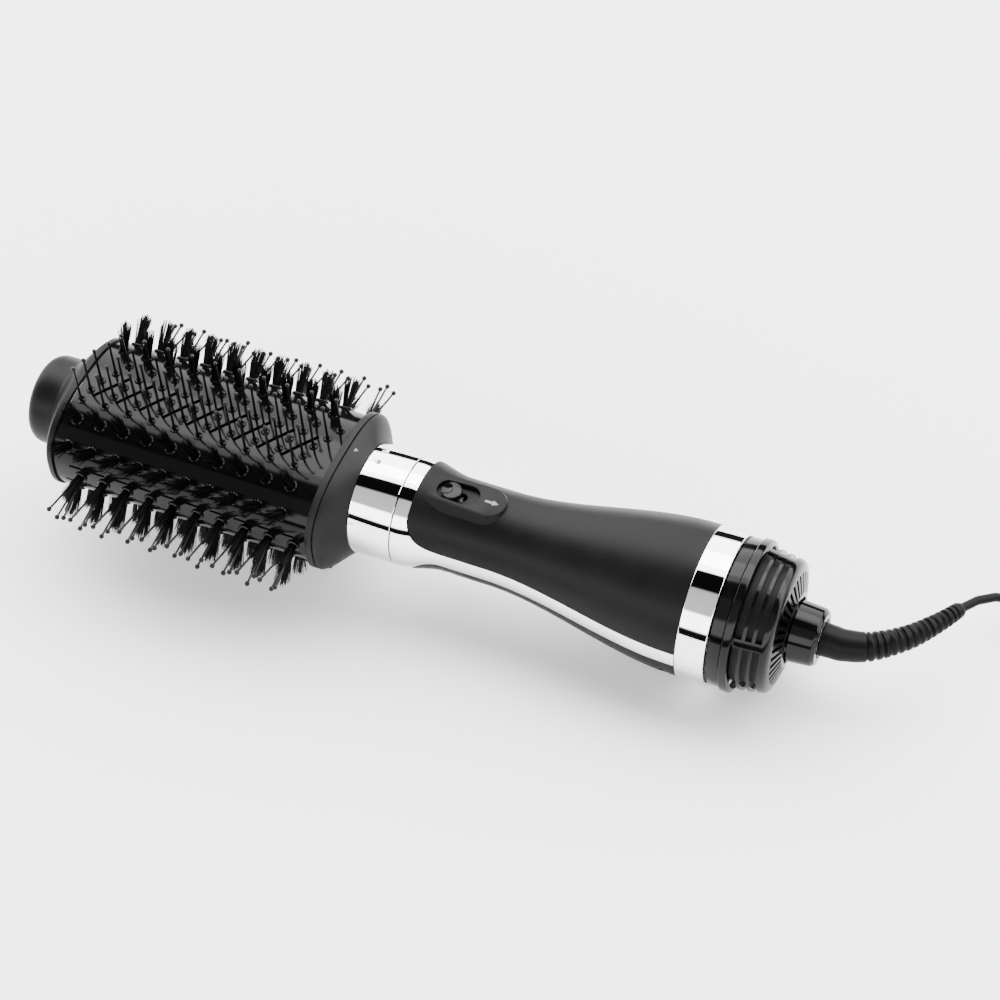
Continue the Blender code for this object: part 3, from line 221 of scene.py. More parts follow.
def make_smudge_group():
    """Handling marks: soft patches and fine hairline scratches that change the gloss."""
    tree, given, made = shared_group(
        "handling_marks", (("Vector", None), ("Amount", 0.5)), ("Mask", "Scratch"))
    broad = remap(tree, noise_node(tree, given.outputs["Vector"], 38.0, 5.0, 0.6), 0.42, 0.72)
    spots = remap(tree, noise_node(tree, given.outputs["Vector"], 210.0, 3.0, 0.7), 0.50, 0.75)
    both = maths(tree, "ADD", maths(tree, "MULTIPLY", broad, 0.7), maths(tree, "MULTIPLY", spots, 0.3))
    stretch = tree.nodes.new("ShaderNodeMapping")
    stretch.inputs["Scale"].default_value = (14.0, 900.0, 900.0)
    tree.links.new(given.outputs["Vector"], stretch.inputs["Vector"])
    hair = remap(tree, noise_node(tree, stretch.outputs["Vector"], 1.0, 2.0), 0.64, 0.72)
    tree.links.new(maths(tree, "MULTIPLY", both, given.outputs["Amount"]), made.inputs["Mask"])
    tree.links.new(maths(tree, "MULTIPLY", hair, given.outputs["Amount"]), made.inputs["Scratch"])
    return tree


def make_dust_group():
    """Light dust that settles on upward faces, and wear that brightens raised edges."""
    tree, given, made = shared_group(
        "dust_and_wear", (("Vector", None), ("Dust", 0.5), ("Wear", 0.5)), ("Dust", "Wear"))
    geometry = tree.nodes.new("ShaderNodeNewGeometry")
    split = tree.nodes.new("ShaderNodeSeparateXYZ")
    tree.links.new(geometry.outputs["Normal"], split.inputs[0])
    up = remap(tree, split.outputs["Z"], 0.2, 1.0)
    specks = remap(tree, noise_node(tree, given.outputs["Vector"], 900.0, 6.0, 0.75), 0.56, 0.78)
    dust = maths(tree, "MULTIPLY", maths(tree, "MULTIPLY", up, specks), given.outputs["Dust"])
    edge = remap(tree, geometry.outputs["Pointiness"], 0.505, 0.56)
    rubbed = remap(tree, noise_node(tree, given.outputs["Vector"], 300.0), 0.35, 0.65)
    broken = maths(tree, "MULTIPLY", edge, rubbed)
    tree.links.new(dust, made.inputs["Dust"])
    tree.links.new(maths(tree, "MULTIPLY", broken, given.outputs["Wear"]), made.inputs["Wear"])
    return tree


GRAIN, SMUDGE, DUST = make_grain_group(), make_smudge_group(), make_dust_group()


def add_group(tree, group, vector, **values):
    node = tree.nodes.new("ShaderNodeGroup")
    node.node_tree = group
    tree.links.new(vector, node.inputs["Vector"])
    for title, value in values.items():
        node.inputs[title].default_value = value
    return node.outputs


def finish(name, colour, roughness, metallic=0.0, coat=0.0, specular=0.5, grain=(2500.0, 0.0),
           smudge=0.3, dust=0.3, wear=0.2, sheen=0.0):
    """A surface whose colour and gloss vary with grain, handling marks, dust and edge wear."""
    made = bpy.data.materials.new(name)
    made.use_nodes = True
    tree = made.node_tree
    shader = tree.nodes["Principled BSDF"]
    place = tree.nodes.new("ShaderNodeTexCoord").outputs["Object"]
    texture = add_group(tree, GRAIN, place, Scale=grain[0])
    marks = add_group(tree, SMUDGE, place, Amount=smudge)
    age = add_group(tree, DUST, place, Dust=dust, Wear=wear)
    lighter = tuple(min(1.0, c * 1.35 + 0.0004) for c in colour)
    base = mixed(tree, texture["Patch"], colour, lighter)
    base = mixed(tree, age["Wear"], base, tuple(min(1.0, c * 2.2 + 0.006) for c in colour))
    base = mixed(tree, age["Dust"], base, (0.20, 0.195, 0.19) if not metallic else (0.72, 0.71, 0.70))
    tree.links.new(base, shader.inputs["Base Color"])
    uneven = maths(tree, "MULTIPLY", texture["Patch"], roughness * 0.18)
    rough = maths(tree, "ADD", uneven, roughness * 0.90)
    rough = maths(tree, "ADD", rough, maths(tree, "MULTIPLY", marks["Mask"], 0.22))
    rough = maths(tree, "ADD", rough, maths(tree, "MULTIPLY", marks["Scratch"], 0.10), clamp=True)
    tree.links.new(rough, shader.inputs["Roughness"])
    shader.inputs["Metallic"].default_value = metallic
    shader.inputs["Coat Weight"].default_value = coat
    shader.inputs["Coat Roughness"].default_value = 0.05
    shader.inputs["Specular IOR Level"].default_value = specular
    shader.inputs["Sheen Weight"].default_value = sheen
    shader.inputs["Sheen Roughness"].default_value = 0.45
    if grain[1]:
        bump = tree.nodes.new("ShaderNodeBump")
        bump.inputs["Strength"].default_value = grain[1]
        bump.inputs["Distance"].default_value = 0.00006
        tree.links.new(texture["Height"], bump.inputs["Height"])
        tree.links.new(bump.outputs["Normal"], shader.inputs["Normal"])
    made.diffuse_color = (*colour, 1.0)
    return made


def mixed(tree, factor, first, second):
    node = tree.nodes.new("ShaderNodeMix")
    node.data_type = "RGBA"
    tree.links.new(factor, node.inputs["Factor"])
    for socket, value in ((node.inputs[6], first), (node.inputs[7], second)):
        if isinstance(value, tuple):
            socket.default_value = (*value, 1.0)
        else:
            tree.links.new(value, socket)
    return node.outputs[2]


def screen_finish():
    """Woven steel mesh: wires along the brush and round it, and between them openings coloured near-black as
    painted shade seen through the holes.
    """
    made = finish("steel_mesh", (0.02, 0.02, 0.02), 0.45, metallic=0.3, specular=0.1, smudge=0.5)
    tree = made.node_tree
    shader = tree.nodes["Principled BSDF"]
    split = tree.nodes.new("ShaderNodeSeparateXYZ")
    tree.links.new(tree.nodes.new("ShaderNodeTexCoord").outputs["Object"], split.inputs[0])
    raised = maths(tree, "SUBTRACT", split.outputs["Z"], 0.034)
    angle = maths(tree, "ARCTAN2", split.outputs["Y"], raised)
    across = maths(tree, "ABSOLUTE", maths(tree, "SINE", maths(tree, "MULTIPLY", angle, 90.0)))
    spaced = maths(tree, "MULTIPLY", split.outputs["X"], 3300.0)
    along = maths(tree, "ABSOLUTE", maths(tree, "SINE", spaced))
    wire = remap(tree, maths(tree, "MAXIMUM", across, along), 0.62, 0.80)
    # The openings get a near-black colour, painted shade for the dark seen through the mesh; the wires get the
    # steel's own dark grey.
    colour = mixed(tree, wire, (0.0004, 0.0004, 0.0004), (0.016, 0.016, 0.017))
    tree.links.new(colour, shader.inputs["Base Color"])
    bump = tree.nodes.new("ShaderNodeBump")
    bump.inputs["Distance"].default_value = 0.0003
    tree.links.new(wire, bump.inputs["Height"])
    tree.links.new(bump.outputs["Normal"], shader.inputs["Normal"])
    return made


SOFT_BLACK = finish("soft_touch_black", (0.0016, 0.0016, 0.0016), 0.40, specular=0.10,
                    grain=(3200.0, 0.30), dust=0.006)
MATT_GREY = finish("matt_dark_grey", (0.0042, 0.0042, 0.0043), 0.46, specular=0.12,
                   grain=(2600.0, 0.40), dust=0.008)
GLOSS_BLACK = finish("gloss_black", (0.0010, 0.0010, 0.0010), 0.10, specular=0.16,
                     smudge=0.25, dust=0.004)
CERAMIC = finish("ceramic_black", (0.0010, 0.0010, 0.0010), 0.08, specular=0.12,
                 grain=(900.0, 0.06), smudge=0.2, dust=0.004)
NYLON = finish("black_nylon", (0.0012, 0.0012, 0.0012), 0.30, specular=0.18,
               grain=(1800.0, 0.10), dust=0.004)
BRISTLE = finish("bristle_black", (0.0010, 0.0010, 0.0010), 0.45, specular=0.10, dust=0.0, wear=0.0)
RUBBER = finish("black_rubber", (0.0010, 0.0010, 0.0010), 0.42, specular=0.08,
                grain=(2200.0, 0.30), dust=0.006)
CHROME = finish("chrome", (0.86, 0.86, 0.87), 0.03, metallic=1.0, smudge=0.08, dust=0.02, wear=0.0)
STEEL = finish("steel", (0.50, 0.50, 0.52), 0.30, metallic=1.0, grain=(1500.0, 0.15), smudge=0.5)
BRASS = finish("brass", (0.72, 0.54, 0.25), 0.24, metallic=1.0, grain=(1500.0, 0.10), smudge=0.5)
MICA = finish("mica", (0.52, 0.46, 0.36), 0.42, grain=(500.0, 0.3), smudge=0.4)
BOARD = finish("board_green", (0.02, 0.13, 0.06), 0.35, coat=0.4, grain=(1200.0, 0.2))
MARK_GREY = finish("printed_mark_grey", (0.10, 0.10, 0.10), 0.45, dust=0.0)
MARK_WHITE = finish("printed_mark_white", (0.80, 0.80, 0.80), 0.45, dust=0.0)
MESH = screen_finish()


# Making shapes

def skin(bm, columns, rows, point):
    """A grid of faces whose corners lie where point(column, row) puts them."""
    made = bmesh.ops.create_grid(bm, x_segments=columns, y_segments=rows, size=0.5)["verts"]
    for vertex in made:
        vertex.co = point(round((vertex.co.x + 0.5) * columns), round((vertex.co.y + 0.5) * rows))
    return made


def closed(bm):
    bmesh.ops.remove_doubles(bm, verts=bm.verts, dist=1e-7)
    bmesh.ops.dissolve_degenerate(bm, edges=bm.edges, dist=1e-8)
    bmesh.ops.recalc_face_normals(bm, faces=bm.faces)


def around(x, radius, angle):
    """The point at this station and radius, at an angle in degrees from the top."""
    a = math.radians(angle)
    return Vector((x, -radius * math.sin(a), radius * math.cos(a)))


def lathe(bm, outline, steps=128):
    """A turned shape from a list of (x, radius)."""
    points = [*outline, outline[0]]
    skin(bm, steps, len(points) - 1, lambda i, j: around(*points[j], 360.0 * i / steps))
    closed(bm)


def eased(outline, reach, steps=3):
    """The outline with each of its corners rounded over this reach."""
    made = []
    count = len(outline)
    for i, corner in enumerate(outline):
        middle = Vector(corner)
        before, after = Vector(outline[i - 1]) - middle, Vector(outline[(i + 1) % count]) - middle
        cut = min(reach, before.length * 0.45, after.length * 0.45)
        start, end = middle + before.normalized() * cut, middle + after.normalized() * cut
        for k in range(steps + 1):
            t = k / steps
            made.append(tuple(start * (1 - t) ** 2 + middle * 2 * t * (1 - t) + end * t ** 2))
    return made


def oval_point(x, half, angle, power=OVAL_POWER):
    c, s = math.cos(angle), math.sin(angle)
    return Vector((x, math.copysign(abs(c) ** (2 / power), c) * half[0],
                   math.copysign(abs(s) ** (2 / power), s) * half[1]))


def oval_rings(bm, rings, steps=160, ring=True):
    """A skin over oval rings, each (x, half width, half height, power)."""
    points = [*rings, rings[0]] if ring else rings

    def point(i, j):
        x, wide, tall, power = points[j]
        return oval_point(x, (wide, tall), 2 * math.pi * (i + 0.5) / steps, power)

    skin(bm, steps, len(points) - 1, point)
    # The seam is welded only after this, so the ends of an open stack stay unfilled
    if not ring:
        for edges in (first_edges(bm, points[0][0]), first_edges(bm, points[-1][0])):
            bmesh.ops.holes_fill(bm, edges=edges)
    closed(bm)


def first_edges(bm, x):
    return [edge for edge in bm.edges if all(abs(v.co.x - x) < 1e-7 for v in edge.verts)]


def blended(first, second, share, x):
    return (x, *(a + (b - a) * share for a, b in zip(first, second)))


def baked(bm, *modifiers):
    """The mesh after modifiers, each (kind, settings), have been applied."""
    mesh = bpy.data.meshes.new("baked")
    bm.to_mesh(mesh)
    bm.free()
    item = bpy.data.objects.new("baked", mesh)
    bpy.context.scene.collection.objects.link(item)
    for kind, settings in modifiers:
        modifier = item.modifiers.new(kind, kind)
        for key, value in settings.items():
            setattr(modifier, key, value)
    graph = bpy.context.evaluated_depsgraph_get()
    made = bpy.data.meshes.new_from_object(item.evaluated_get(graph))
    bpy.data.objects.remove(item)
    return made


def tool(bm):
    """A hidden solid that a Boolean takes."""
    bmesh.ops.recalc_face_normals(bm, faces=bm.faces)
    mesh = bpy.data.meshes.new("tool")
    bm.to_mesh(mesh)
    bm.free()
    item = bpy.data.objects.new("tool", mesh)
    bpy.context.scene.collection.objects.link(item)
    item.hide_render = True
    return item


def boolean(operation, other):
    return "BOOLEAN", {"operation": operation, "object": other, "solver": "EXACT"}


def to_bmesh(mesh):
    bm = bmesh.new()
    bm.from_mesh(mesh)
    return bm


def piece(name, made, material, body, nodes=(), outward=None, sharp=32):
    """Places a finished shape, gives it its finish, parents it to the body it rides on, and hides the frame
    parts it stands for.
    """
    mesh = made
    if isinstance(made, bmesh.types.BMesh):
        mesh = bpy.data.meshes.new(name)
        made.to_mesh(mesh)
        made.free()
    mesh.name = name
    mesh.materials.clear()
    mesh.materials.append(material)
    mesh.shade_smooth()
    mesh.set_sharp_from_angle(angle=math.radians(sharp))
    if outward:
        true_normals(mesh, outward)
    if name not in ON_TABLE:
        mesh.transform(PLACE)
    item = bpy.data.objects.new(name, mesh)
    bpy.context.scene.collection.objects.link(item)
    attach(item, body)
    if nodes:
        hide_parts(*nodes)
    return item


ON_TABLE = {"visual_relief", "visual_plug", "coil_tie"}


def true_normals(mesh, outward):
    """Shades the faces that lie on a known curved surface by that surface's own normal."""
    corner = [Vector(n.vector) for n in mesh.corner_normals]
    for face in mesh.polygons:
        for loop in face.loop_indices:
            exact = outward(mesh.vertices[mesh.loops[loop].vertex_index].co)
            if exact is not None and exact.dot(face.normal) > 0.85:
                corner[loop] = exact
    mesh.normals_split_custom_set(corner)


def smoothstep(t):
    t = min(max(t, 0.0), 1.0)
    return t * t * (3 - 2 * t)


def handle_radius(x):
    narrowing = smoothstep((x - X_BEZEL - 0.0010) / 0.0204)
    swelling = smoothstep((x - X_SHELL - 0.0362) / 0.0878)
    return LOCK_RADIUS + (WAIST_RADIUS - LOCK_RADIUS) * narrowing + (REAR_RADIUS - WAIST_RADIUS) * swelling


def handle_normal(co):
    radius = math.hypot(co.y, co.z)
    if abs(radius - handle_radius(co.x)) > 2e-5:
        return None
    slope = (handle_radius(co.x + 1e-5) - handle_radius(co.x - 1e-5)) / 2e-5
    return Vector((-slope, co.y / radius, co.z / radius)).normalized()


def barrel_normal(co):
    a, b = BARREL_HALF
    if abs(abs(co.y / a) ** OVAL_POWER + abs(co.z / b) ** OVAL_POWER - 1) > 4e-3:
        return None
    return Vector((0.0, math.copysign(abs(co.y / a) ** (OVAL_POWER - 1) / a, co.y),
                   math.copysign(abs(co.z / b) ** (OVAL_POWER - 1) / b, co.z))).normalized()


def barrel_point(angle):
    """Where the barrel faces an angle from the top, as (y, z)."""
    share = OVAL_POWER / (OVAL_POWER - 1)
    a, b = BARREL_HALF
    sine, cosine = math.sin(math.radians(angle)), math.cos(math.radians(angle))
    reach = ((a * abs(sine)) ** share + (b * abs(cosine)) ** share) ** (1 / share)
    return (-math.copysign(a * (a * abs(sine) / reach) ** (share - 1), sine),
            math.copysign(b * (b * abs(cosine) / reach) ** (share - 1), cosine))


def barrel_height(y):
    return BARREL_HALF[1] * (1 - abs(y / BARREL_HALF[0]) ** OVAL_POWER) ** (1 / OVAL_POWER)


def stamp(bm, template, places):
    """Copies of a small mesh at each of these places."""
    for place in places:
        copy = template.copy()
        copy.transform(place)
        bm.from_mesh(copy)
        bpy.data.meshes.remove(copy)


def stamp_mesh(bm):
    mesh = bpy.data.meshes.new("stamp")
    bm.to_mesh(mesh)
    bm.free()
    return mesh


def stadium(bm, length, width, depth, place):
    """A slot-shaped solid with round ends."""
    made = bmesh.ops.create_cone(bm, cap_ends=True, segments=14, radius1=width / 2, radius2=width / 2,
                                 depth=depth)
    for vertex in made["verts"]:
        vertex.co.x += math.copysign((length - width) / 2, vertex.co.x)
    bmesh.ops.transform(bm, matrix=place, verts=made["verts"])


def turned_stamp(outline, steps):
    """A small turned shape about its own Z, from a list of (height, radius). Its foot is open."""
    bm = bmesh.new()
    upright(bm, outline, steps)
    return stamp_mesh(bm)


def upright(bm, outline, steps, middle=0.0):
    """A shape turned about a line along Z at x = middle, from a list of (height, radius)."""
    def point(i, j):
        height, radius = outline[j]
        a = 2 * math.pi * i / steps
        return Vector((middle + radius * math.cos(a), radius * math.sin(a), height))

    skin(bm, steps, len(outline) - 1, point)
    closed(bm)


# Camera and light

CAMERA_AT = (0.39295, -0.60992, 0.88841)
CAMERA_TURN = (29.938, 49.450, -8.485)  # azimuth, elevation and roll, in degrees
CAMERA_LENS = 92.79


def make_camera():
    data = bpy.data.cameras.new("camera")
    data.lens, data.sensor_width = CAMERA_LENS, 36.0
    data.clip_start, data.clip_end = 0.05, 20.0
    item = bpy.data.objects.new("camera", data)
    bpy.context.scene.collection.objects.link(item)
    azimuth, elevation, roll = (math.radians(angle) for angle in CAMERA_TURN)
    level = math.cos(elevation)
    back = Vector((math.sin(azimuth) * level, -math.cos(azimuth) * level, math.sin(elevation)))
    right = Vector((0, 0, 1)).cross(back).normalized()
    up = back.cross(right)
    across = right * math.cos(roll) + up * math.sin(roll)
    upward = up * math.cos(roll) - right * math.sin(roll)
    facing_back = Matrix((across, upward, back)).transposed().to_4x4()
    item.matrix_world = Matrix.Translation(CAMERA_AT) @ facing_back
    bpy.context.scene.camera = item


def softbox(name, at, towards, size, power):
    data = bpy.data.lights.new(name, "AREA")
    data.shape = "RECTANGLE"
    data.size, data.size_y = size
    data.energy = power
    item = bpy.data.objects.new(name, data)
    bpy.context.scene.collection.objects.link(item)
    turn = (Vector(towards) - Vector(at)).to_track_quat("-Z", "Y").to_matrix().to_4x4()
    item.matrix_world = Matrix.Translation(at) @ turn


def make_stage():
    bm = bmesh.new()
    bmesh.ops.create_grid(bm, x_segments=1, y_segments=1, size=12.0)
    bmesh.ops.translate(bm, vec=(0, 0, -0.0003), verts=bm.verts)
    mesh = stamp_mesh(bm)
    floor = bpy.data.objects.new("floor", mesh)
    bpy.context.scene.collection.objects.link(floor)
    paint = bpy.data.materials.new("pale_floor")
    paint.use_nodes = True
    shader = paint.node_tree.nodes["Principled BSDF"]
    shader.inputs["Base Color"].default_value = (0.98, 0.98, 0.98, 1.0)
    shader.inputs["Roughness"].default_value = 0.9
    mesh.materials.append(paint)
    make_world()


def make_world():
    """A bright ceiling with dark gaps beside it, so that the chrome shows crisp bands."""
    world = bpy.data.worlds.new("studio")
    bpy.context.scene.world = world
    world.use_nodes = True
    tree = world.node_tree
    split = tree.nodes.new("ShaderNodeSeparateXYZ")
    tree.links.new(tree.nodes.new("ShaderNodeTexCoord").outputs["Generated"], split.inputs[0])
    angle = maths(tree, "ARCTAN2", maths(tree, "MULTIPLY", split.outputs["Y"], -1.0), split.outputs["Z"])
    share = remap(tree, angle, -math.pi, math.pi)
    node = tree.nodes.new("ShaderNodeValToRGB")
    ramp = node.color_ramp
    bands = ((0.0, 0.1), (0.235, 0.002), (0.290, 0.002), (0.300, 1.0), (0.478, 1.0), (0.484, 0.0006),
             (0.552, 0.0006), (0.560, 0.10), (0.645, 0.12), (0.655, 0.90), (0.715, 0.90), (0.723, 0.001),
             (1.0, 0.001))
    while len(ramp.elements) < len(bands):
        ramp.elements.new(0.5)
    for element, (position, level) in zip(ramp.elements, bands):
        element.position = position
        element.color = (level, level, level, 1.0)
    tree.links.new(share, node.inputs["Fac"])
    background = tree.nodes["Background"]
    background.inputs["Strength"].default_value = 7.5
    tree.links.new(node.outputs["Color"], background.inputs["Color"])


# The lead

def smooth_points(route, spacing):
    """Points at even spacing along a smooth curve through a route's own points."""
    fine = []
    ends = [2 * route[0] - route[1], *route, 2 * route[-1] - route[-2]]
    for a, b, c, d in zip(ends, ends[1:], ends[2:], ends[3:]):
        for i in range(24):
            t = i / 24
            fine.append(0.5 * (2 * b + (c - a) * t + (2 * a - 5 * b + 4 * c - d) * t ** 2
                               + (3 * b - a - 3 * c + d) * t ** 3))
    fine.append(route[-1])
    length = sum((b - a).length for a, b in zip(fine, fine[1:]))
    count = max(2, round(length / spacing))
    points, travelled, target = [fine[0]], 0.0, length / count
    for a, b in zip(fine, fine[1:]):
        step = (b - a).length
        while travelled + step >= target - 1e-9 and len(points) < count:
            points.append(a.lerp(b, (target - travelled) / step))
            target += length / count
        travelled += step
    points.append(fine[-1])
    return points


def tube_curve(name, points, radii, depth=1.0, resolution=4):
    data = bpy.data.curves.new(name, "CURVE")
    data.dimensions = "3D"
    data.bevel_depth = depth
    data.bevel_resolution = resolution
    data.use_fill_caps = True
    spline = data.splines.new("POLY")
    spline.points.add(len(points) - 1)
    for point, co, radius in zip(spline.points, points, radii):
        point.co = (*co, 1.0)
        point.radius = radius
    spline.use_smooth = True
    item = bpy.data.objects.new(name, data)
    bpy.context.scene.collection.objects.link(item)
    return item


# Turns of the coil so far, and the radius and height of the lead's centre there
COIL_KEYS = ((0.0, 0.0338, 0.0023), (0.5, 0.0295, 0.00255), (3.5, 0.0175, 0.00255), (3.75, 0.0175, 0.00665),
             (6.75, 0.0295, 0.00665), (7.0, 0.0295, 0.01075), (10.0, 0.0175, 0.01075), (10.25, 0.0175, 0.01485),
             (13.25, 0.0295, 0.01485), (13.75, 0.0338, 0.01485), (14.0, TAIL_RADIUS, 0.0090))


def coil_at(turn):
    """(radius, height) of the lead's centre after this many turns of the coil."""
    for (start, r0, z0), (end, r1, z1) in zip(COIL_KEYS, COIL_KEYS[1:]):
        if turn <= end:
            share = (turn - start) / (end - start)
            return r0 + (r1 - r0) * share, z0 + (z1 - z0) * share
    return COIL_KEYS[-1][1:]


def make_lead():
    exit_point = PLACE @ Vector((X_EXIT + GAP, 0, 0))
    along = (PLACE.to_3x3() @ Vector((1, 0, 0))).normalized()
    bend = [exit_point, exit_point + along * 0.0040, *[exit_point + Vector(p) for p in RELIEF_ROUTE]]
    coarse = smooth_points(bend, 0.0045)
    ahead = (coarse[-1] - coarse[-2]).normalized()
    floor = [Vector((exit_point.x + x, exit_point.y + y, max(exit_point.z + z, CORD_DIAMETER / 2)))
             for x, y, z in CORD_ROUTE]
    start = coarse[-1] + ahead * GAP
    lead = smooth_points([start, start + ahead * 0.0020, *floor], 0.0085)
    heading = lead[-1] - lead[-2]
    heading.z = 0.0
    heading.normalize()
    side = Vector((-heading.y, heading.x, 0.0))
    centre = lead[-1] + side * (COIL_OUTER + CORD_DIAMETER / 2 + GAP)
    centre.z = 0.0
    coil = []
    for i in range(1, 14 * 24 + 1):
        turn = i / 24
        radius, height = coil_at(turn)
        a = 2 * math.pi * turn
        coil.append(centre + (heading * math.sin(a) - side * math.cos(a)) * radius + Vector((0, 0, height)))
    reach = math.sqrt((COIL_OUTER + GAP) ** 2 - (TAIL_RADIUS - PLUG_SIZE[1] / 2) ** 2)
    entry = centre - side * TAIL_RADIUS + heading * reach + Vector((0, 0, PLUG_SIZE[2] / 2))
    tail = [entry - heading * reach * 0.5 + Vector((0, 0, 0.0006)), entry + heading * 0.0030]
    route = [*coarse[4:-1], start, *lead[1:], *coil, *tail]
    cord = tube_curve("visual_cord", route, [1.0] * len(route), CORD_DIAMETER / 2, 3)
    cord.data.materials.append(RUBBER)
    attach(cord, "cord_set")
    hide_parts("cord_lead", "cord_coil")
    relief = make_relief(smooth_points(bend, 0.0005))
    plug = make_plug(entry, heading, side)
    make_tie(centre, heading, side)


def make_relief(points):
    """The tapered sleeve where the lead leaves: plain at first, then ribbed as far as its end."""
    count = len(points) - 1
    radii = []
    for i in range(count + 1):
        t = i / count
        radius = RELIEF_RADII[0] + (RELIEF_RADII[1] - RELIEF_RADII[0]) * (t ** 1.15)
        if 0.27 < t < 0.93:
            rib = ((t - 0.27) / 0.66 * 14) % 1.0
            radius -= 0.0008 * smoothstep((abs(rib - 0.5) - 0.24) / 0.14)
        if t > 0.97:
            radius -= 0.0007 * smoothstep((t - 0.97) / 0.03)
        radii.append(radius)
    curve = tube_curve("relief_curve", points, radii, 1.0, 12)
    mesh = bpy.data.meshes.new_from_object(curve.evaluated_get(bpy.context.evaluated_depsgraph_get()))
    bpy.data.objects.remove(curve)
    return piece("visual_relief", mesh, RUBBER, "cord_set", ("strain_relief",), sharp=50)


def make_plug(entry, heading, side):
    bm = bmesh.new()
    long, wide, thick = PLUG_SIZE
    w, t = wide / 2, thick / 2
    stations = ((0.0, 0.0030, 0.0030), (0.0002, 0.0041, 0.0041), (0.0040, 0.0046, 0.0046),
                (0.0050, 0.0055, 0.0050), (0.0100, 0.0088, 0.0062), (0.0150, 0.0105, 0.0067), (0.0190, w, t),
                (long - 0.0012, w, t), (long - 0.0004, w - 0.0005, t - 0.0005), (long, w - 0.0014, t - 0.0014))
    oval_rings(bm, [(x, half, tall, 2.4 if x < 0.006 else 4.0) for x, half, tall in stations], 64, ring=False)
    for i in range(5):
        rib = Matrix.Translation((0.0200 + 0.0014 * i, 0, t)) @ Matrix.Rotation(math.pi / 2, 4, "X")
        bmesh.ops.create_cone(bm, cap_ends=True, segments=10, radius1=0.0005, radius2=0.0005, depth=0.0100,
                              matrix=rib)
    turn = Matrix((heading, side, Vector((0, 0, 1)))).transposed().to_4x4()
    bmesh.ops.transform(bm, matrix=Matrix.Translation(entry) @ turn, verts=bm.verts)
    return piece("visual_plug", bm, RUBBER, "cord_set", ("plug_body",))


def make_tie(centre, heading, side):
    """A soft strap round all the turns of the coil."""
    bm = bmesh.new()
    corners = eased([(0.0151, 0.0001), (0.0341, 0.0001), (0.0341, 0.0171), (0.0151, 0.0171)], 0.0024, 5)
    outer = [(r + math.copysign(0.0006, r - 0.0246), z + (0.0006 if z > 0.009 else -0.00005))
             for r, z in corners]
    count = len(corners)
    profile = ((-0.0030, corners), (-0.0030, outer), (0.0030, outer), (0.0030, corners), (-0.0030, corners))

    def point(i, j):
        shift, loop = profile[j]
        radius, height = loop[i % count]
        return centre + side * radius + heading * shift + Vector((0, 0, height))

    skin(bm, count, 4, point)
    closed(bm)
    return piece("coil_tie", bm, NYLON, "cord_set")


# The brush head

def make_barrel():
    bm = bmesh.new()
    a, b = BARREL_HALF
    front, rear, edge = X_BARREL + GAP / 2, X_RIM - GAP / 2, 0.0003
    w = BARREL_WALL
    straight = [(front + edge + (rear - front - 2 * edge) * i / 12, 0.0) for i in range(13)]
    stations = [(front, -edge), *straight, (rear, -edge), (rear, -w), (front, -w)]
    oval_rings(bm, [(x, a + d, b + d, OVAL_POWER) for x, d in stations], 224)
    mesh = baked(bm, boolean("DIFFERENCE", tool(air_slots())))
    bm = to_bmesh(mesh)
    boss = turned_stamp(((-0.0010, 0.0021), (0.0004, 0.0020), (0.0007, 0.0017), (0.0006, 0.0012),
                         (0.0001, 0.0010)), 14)
    stamp(bm, boss, [Matrix.Translation(foot) @ facing(normal) for foot, normal, _ in pin_places()])
    ring = turned_stamp(((-0.0012, 0.0031), (0.0006, 0.0029), (0.0010, 0.0025), (0.0009, 0.0020),
                         (0.0002, 0.0018)), 18)
    stamp(bm, ring, [place for place, _ in tuft_places()])
    piece("visual_barrel", bm, CERAMIC, "brush_head", ("barrel",), outward=barrel_normal)


def air_slots():
    """The slanted slots in the two wide faces and the short ones along the two narrow edges."""
    slots = bmesh.new()
    for up in (1, -1):
        slant = Matrix.Rotation(math.radians(53.7) * up, 4, "Z")
        for i in range(PINS_IN_ROW - 1):
            middle = Matrix.Translation((0.0379 + i * PIN_PITCH, -0.0016 * up, BARREL_HALF[1] * up))
            stadium(slots, 0.0186, 0.0018, 0.0070, middle @ slant)
    on_edge = Matrix.Rotation(math.pi / 2, 4, "X")
    for i in range(PINS_IN_ROW):
        for side in (1, -1):
            for z, x in ((0.0050, 0.0349), (-0.0050, 0.0312)):
                middle = Matrix.Translation((x + i * PIN_PITCH, side * (BARREL_HALF[0] - 0.0010), z))
                stadium(slots, 0.0062, 0.0013, 0.0090, middle @ on_edge)
    return slots


def facing(direction):
    return Vector(direction).to_track_quat("Z", "Y").to_matrix().to_4x4()


def pin_places():
    """Each pin's foot, the barrel's normal there, and the pin's length, on both wide faces."""
    for up in (1, -1):
        for row, start in enumerate(PIN_ROW_STARTS):
            y = (row - 2) * PIN_ROW_SPACING * up
            for i in range(PINS_IN_ROW):
                foot = Vector((start + i * PIN_PITCH, y, barrel_height(y) * up))
                yield foot, barrel_normal(foot), PIN_REACH - abs(foot.z)


def tuft_places():
    """Each tuft's place, with its own Z outward, and the angle of its row."""
    for side in (1, -1):
        for angle, start in zip(TUFT_ANGLES, TUFT_STARTS):
            y, z = barrel_point(side * angle)
            turn = Matrix.Rotation(math.radians(side * angle), 4, "X")
            for i in range(PINS_IN_ROW):
                yield Matrix.Translation((start + i * PIN_PITCH, y, z)) @ turn, angle


def pin_stamp(length, shaft, ball):
    """A nylon pin with a ball on its end, standing on z = 0."""
    top = length - ball
    outline = [(-0.0012, shaft * 1.5), (0.0010, shaft * 1.25), (0.0040, shaft),
               (top - ball * 0.80, shaft * 0.85)]
    outline += [(top - ball * math.cos(a), ball * math.sin(a)) for a in (0.75, 1.2, 1.7, 2.3, 2.8)]
    outline.append((length, 0.0))
    return turned_stamp(outline, 8)


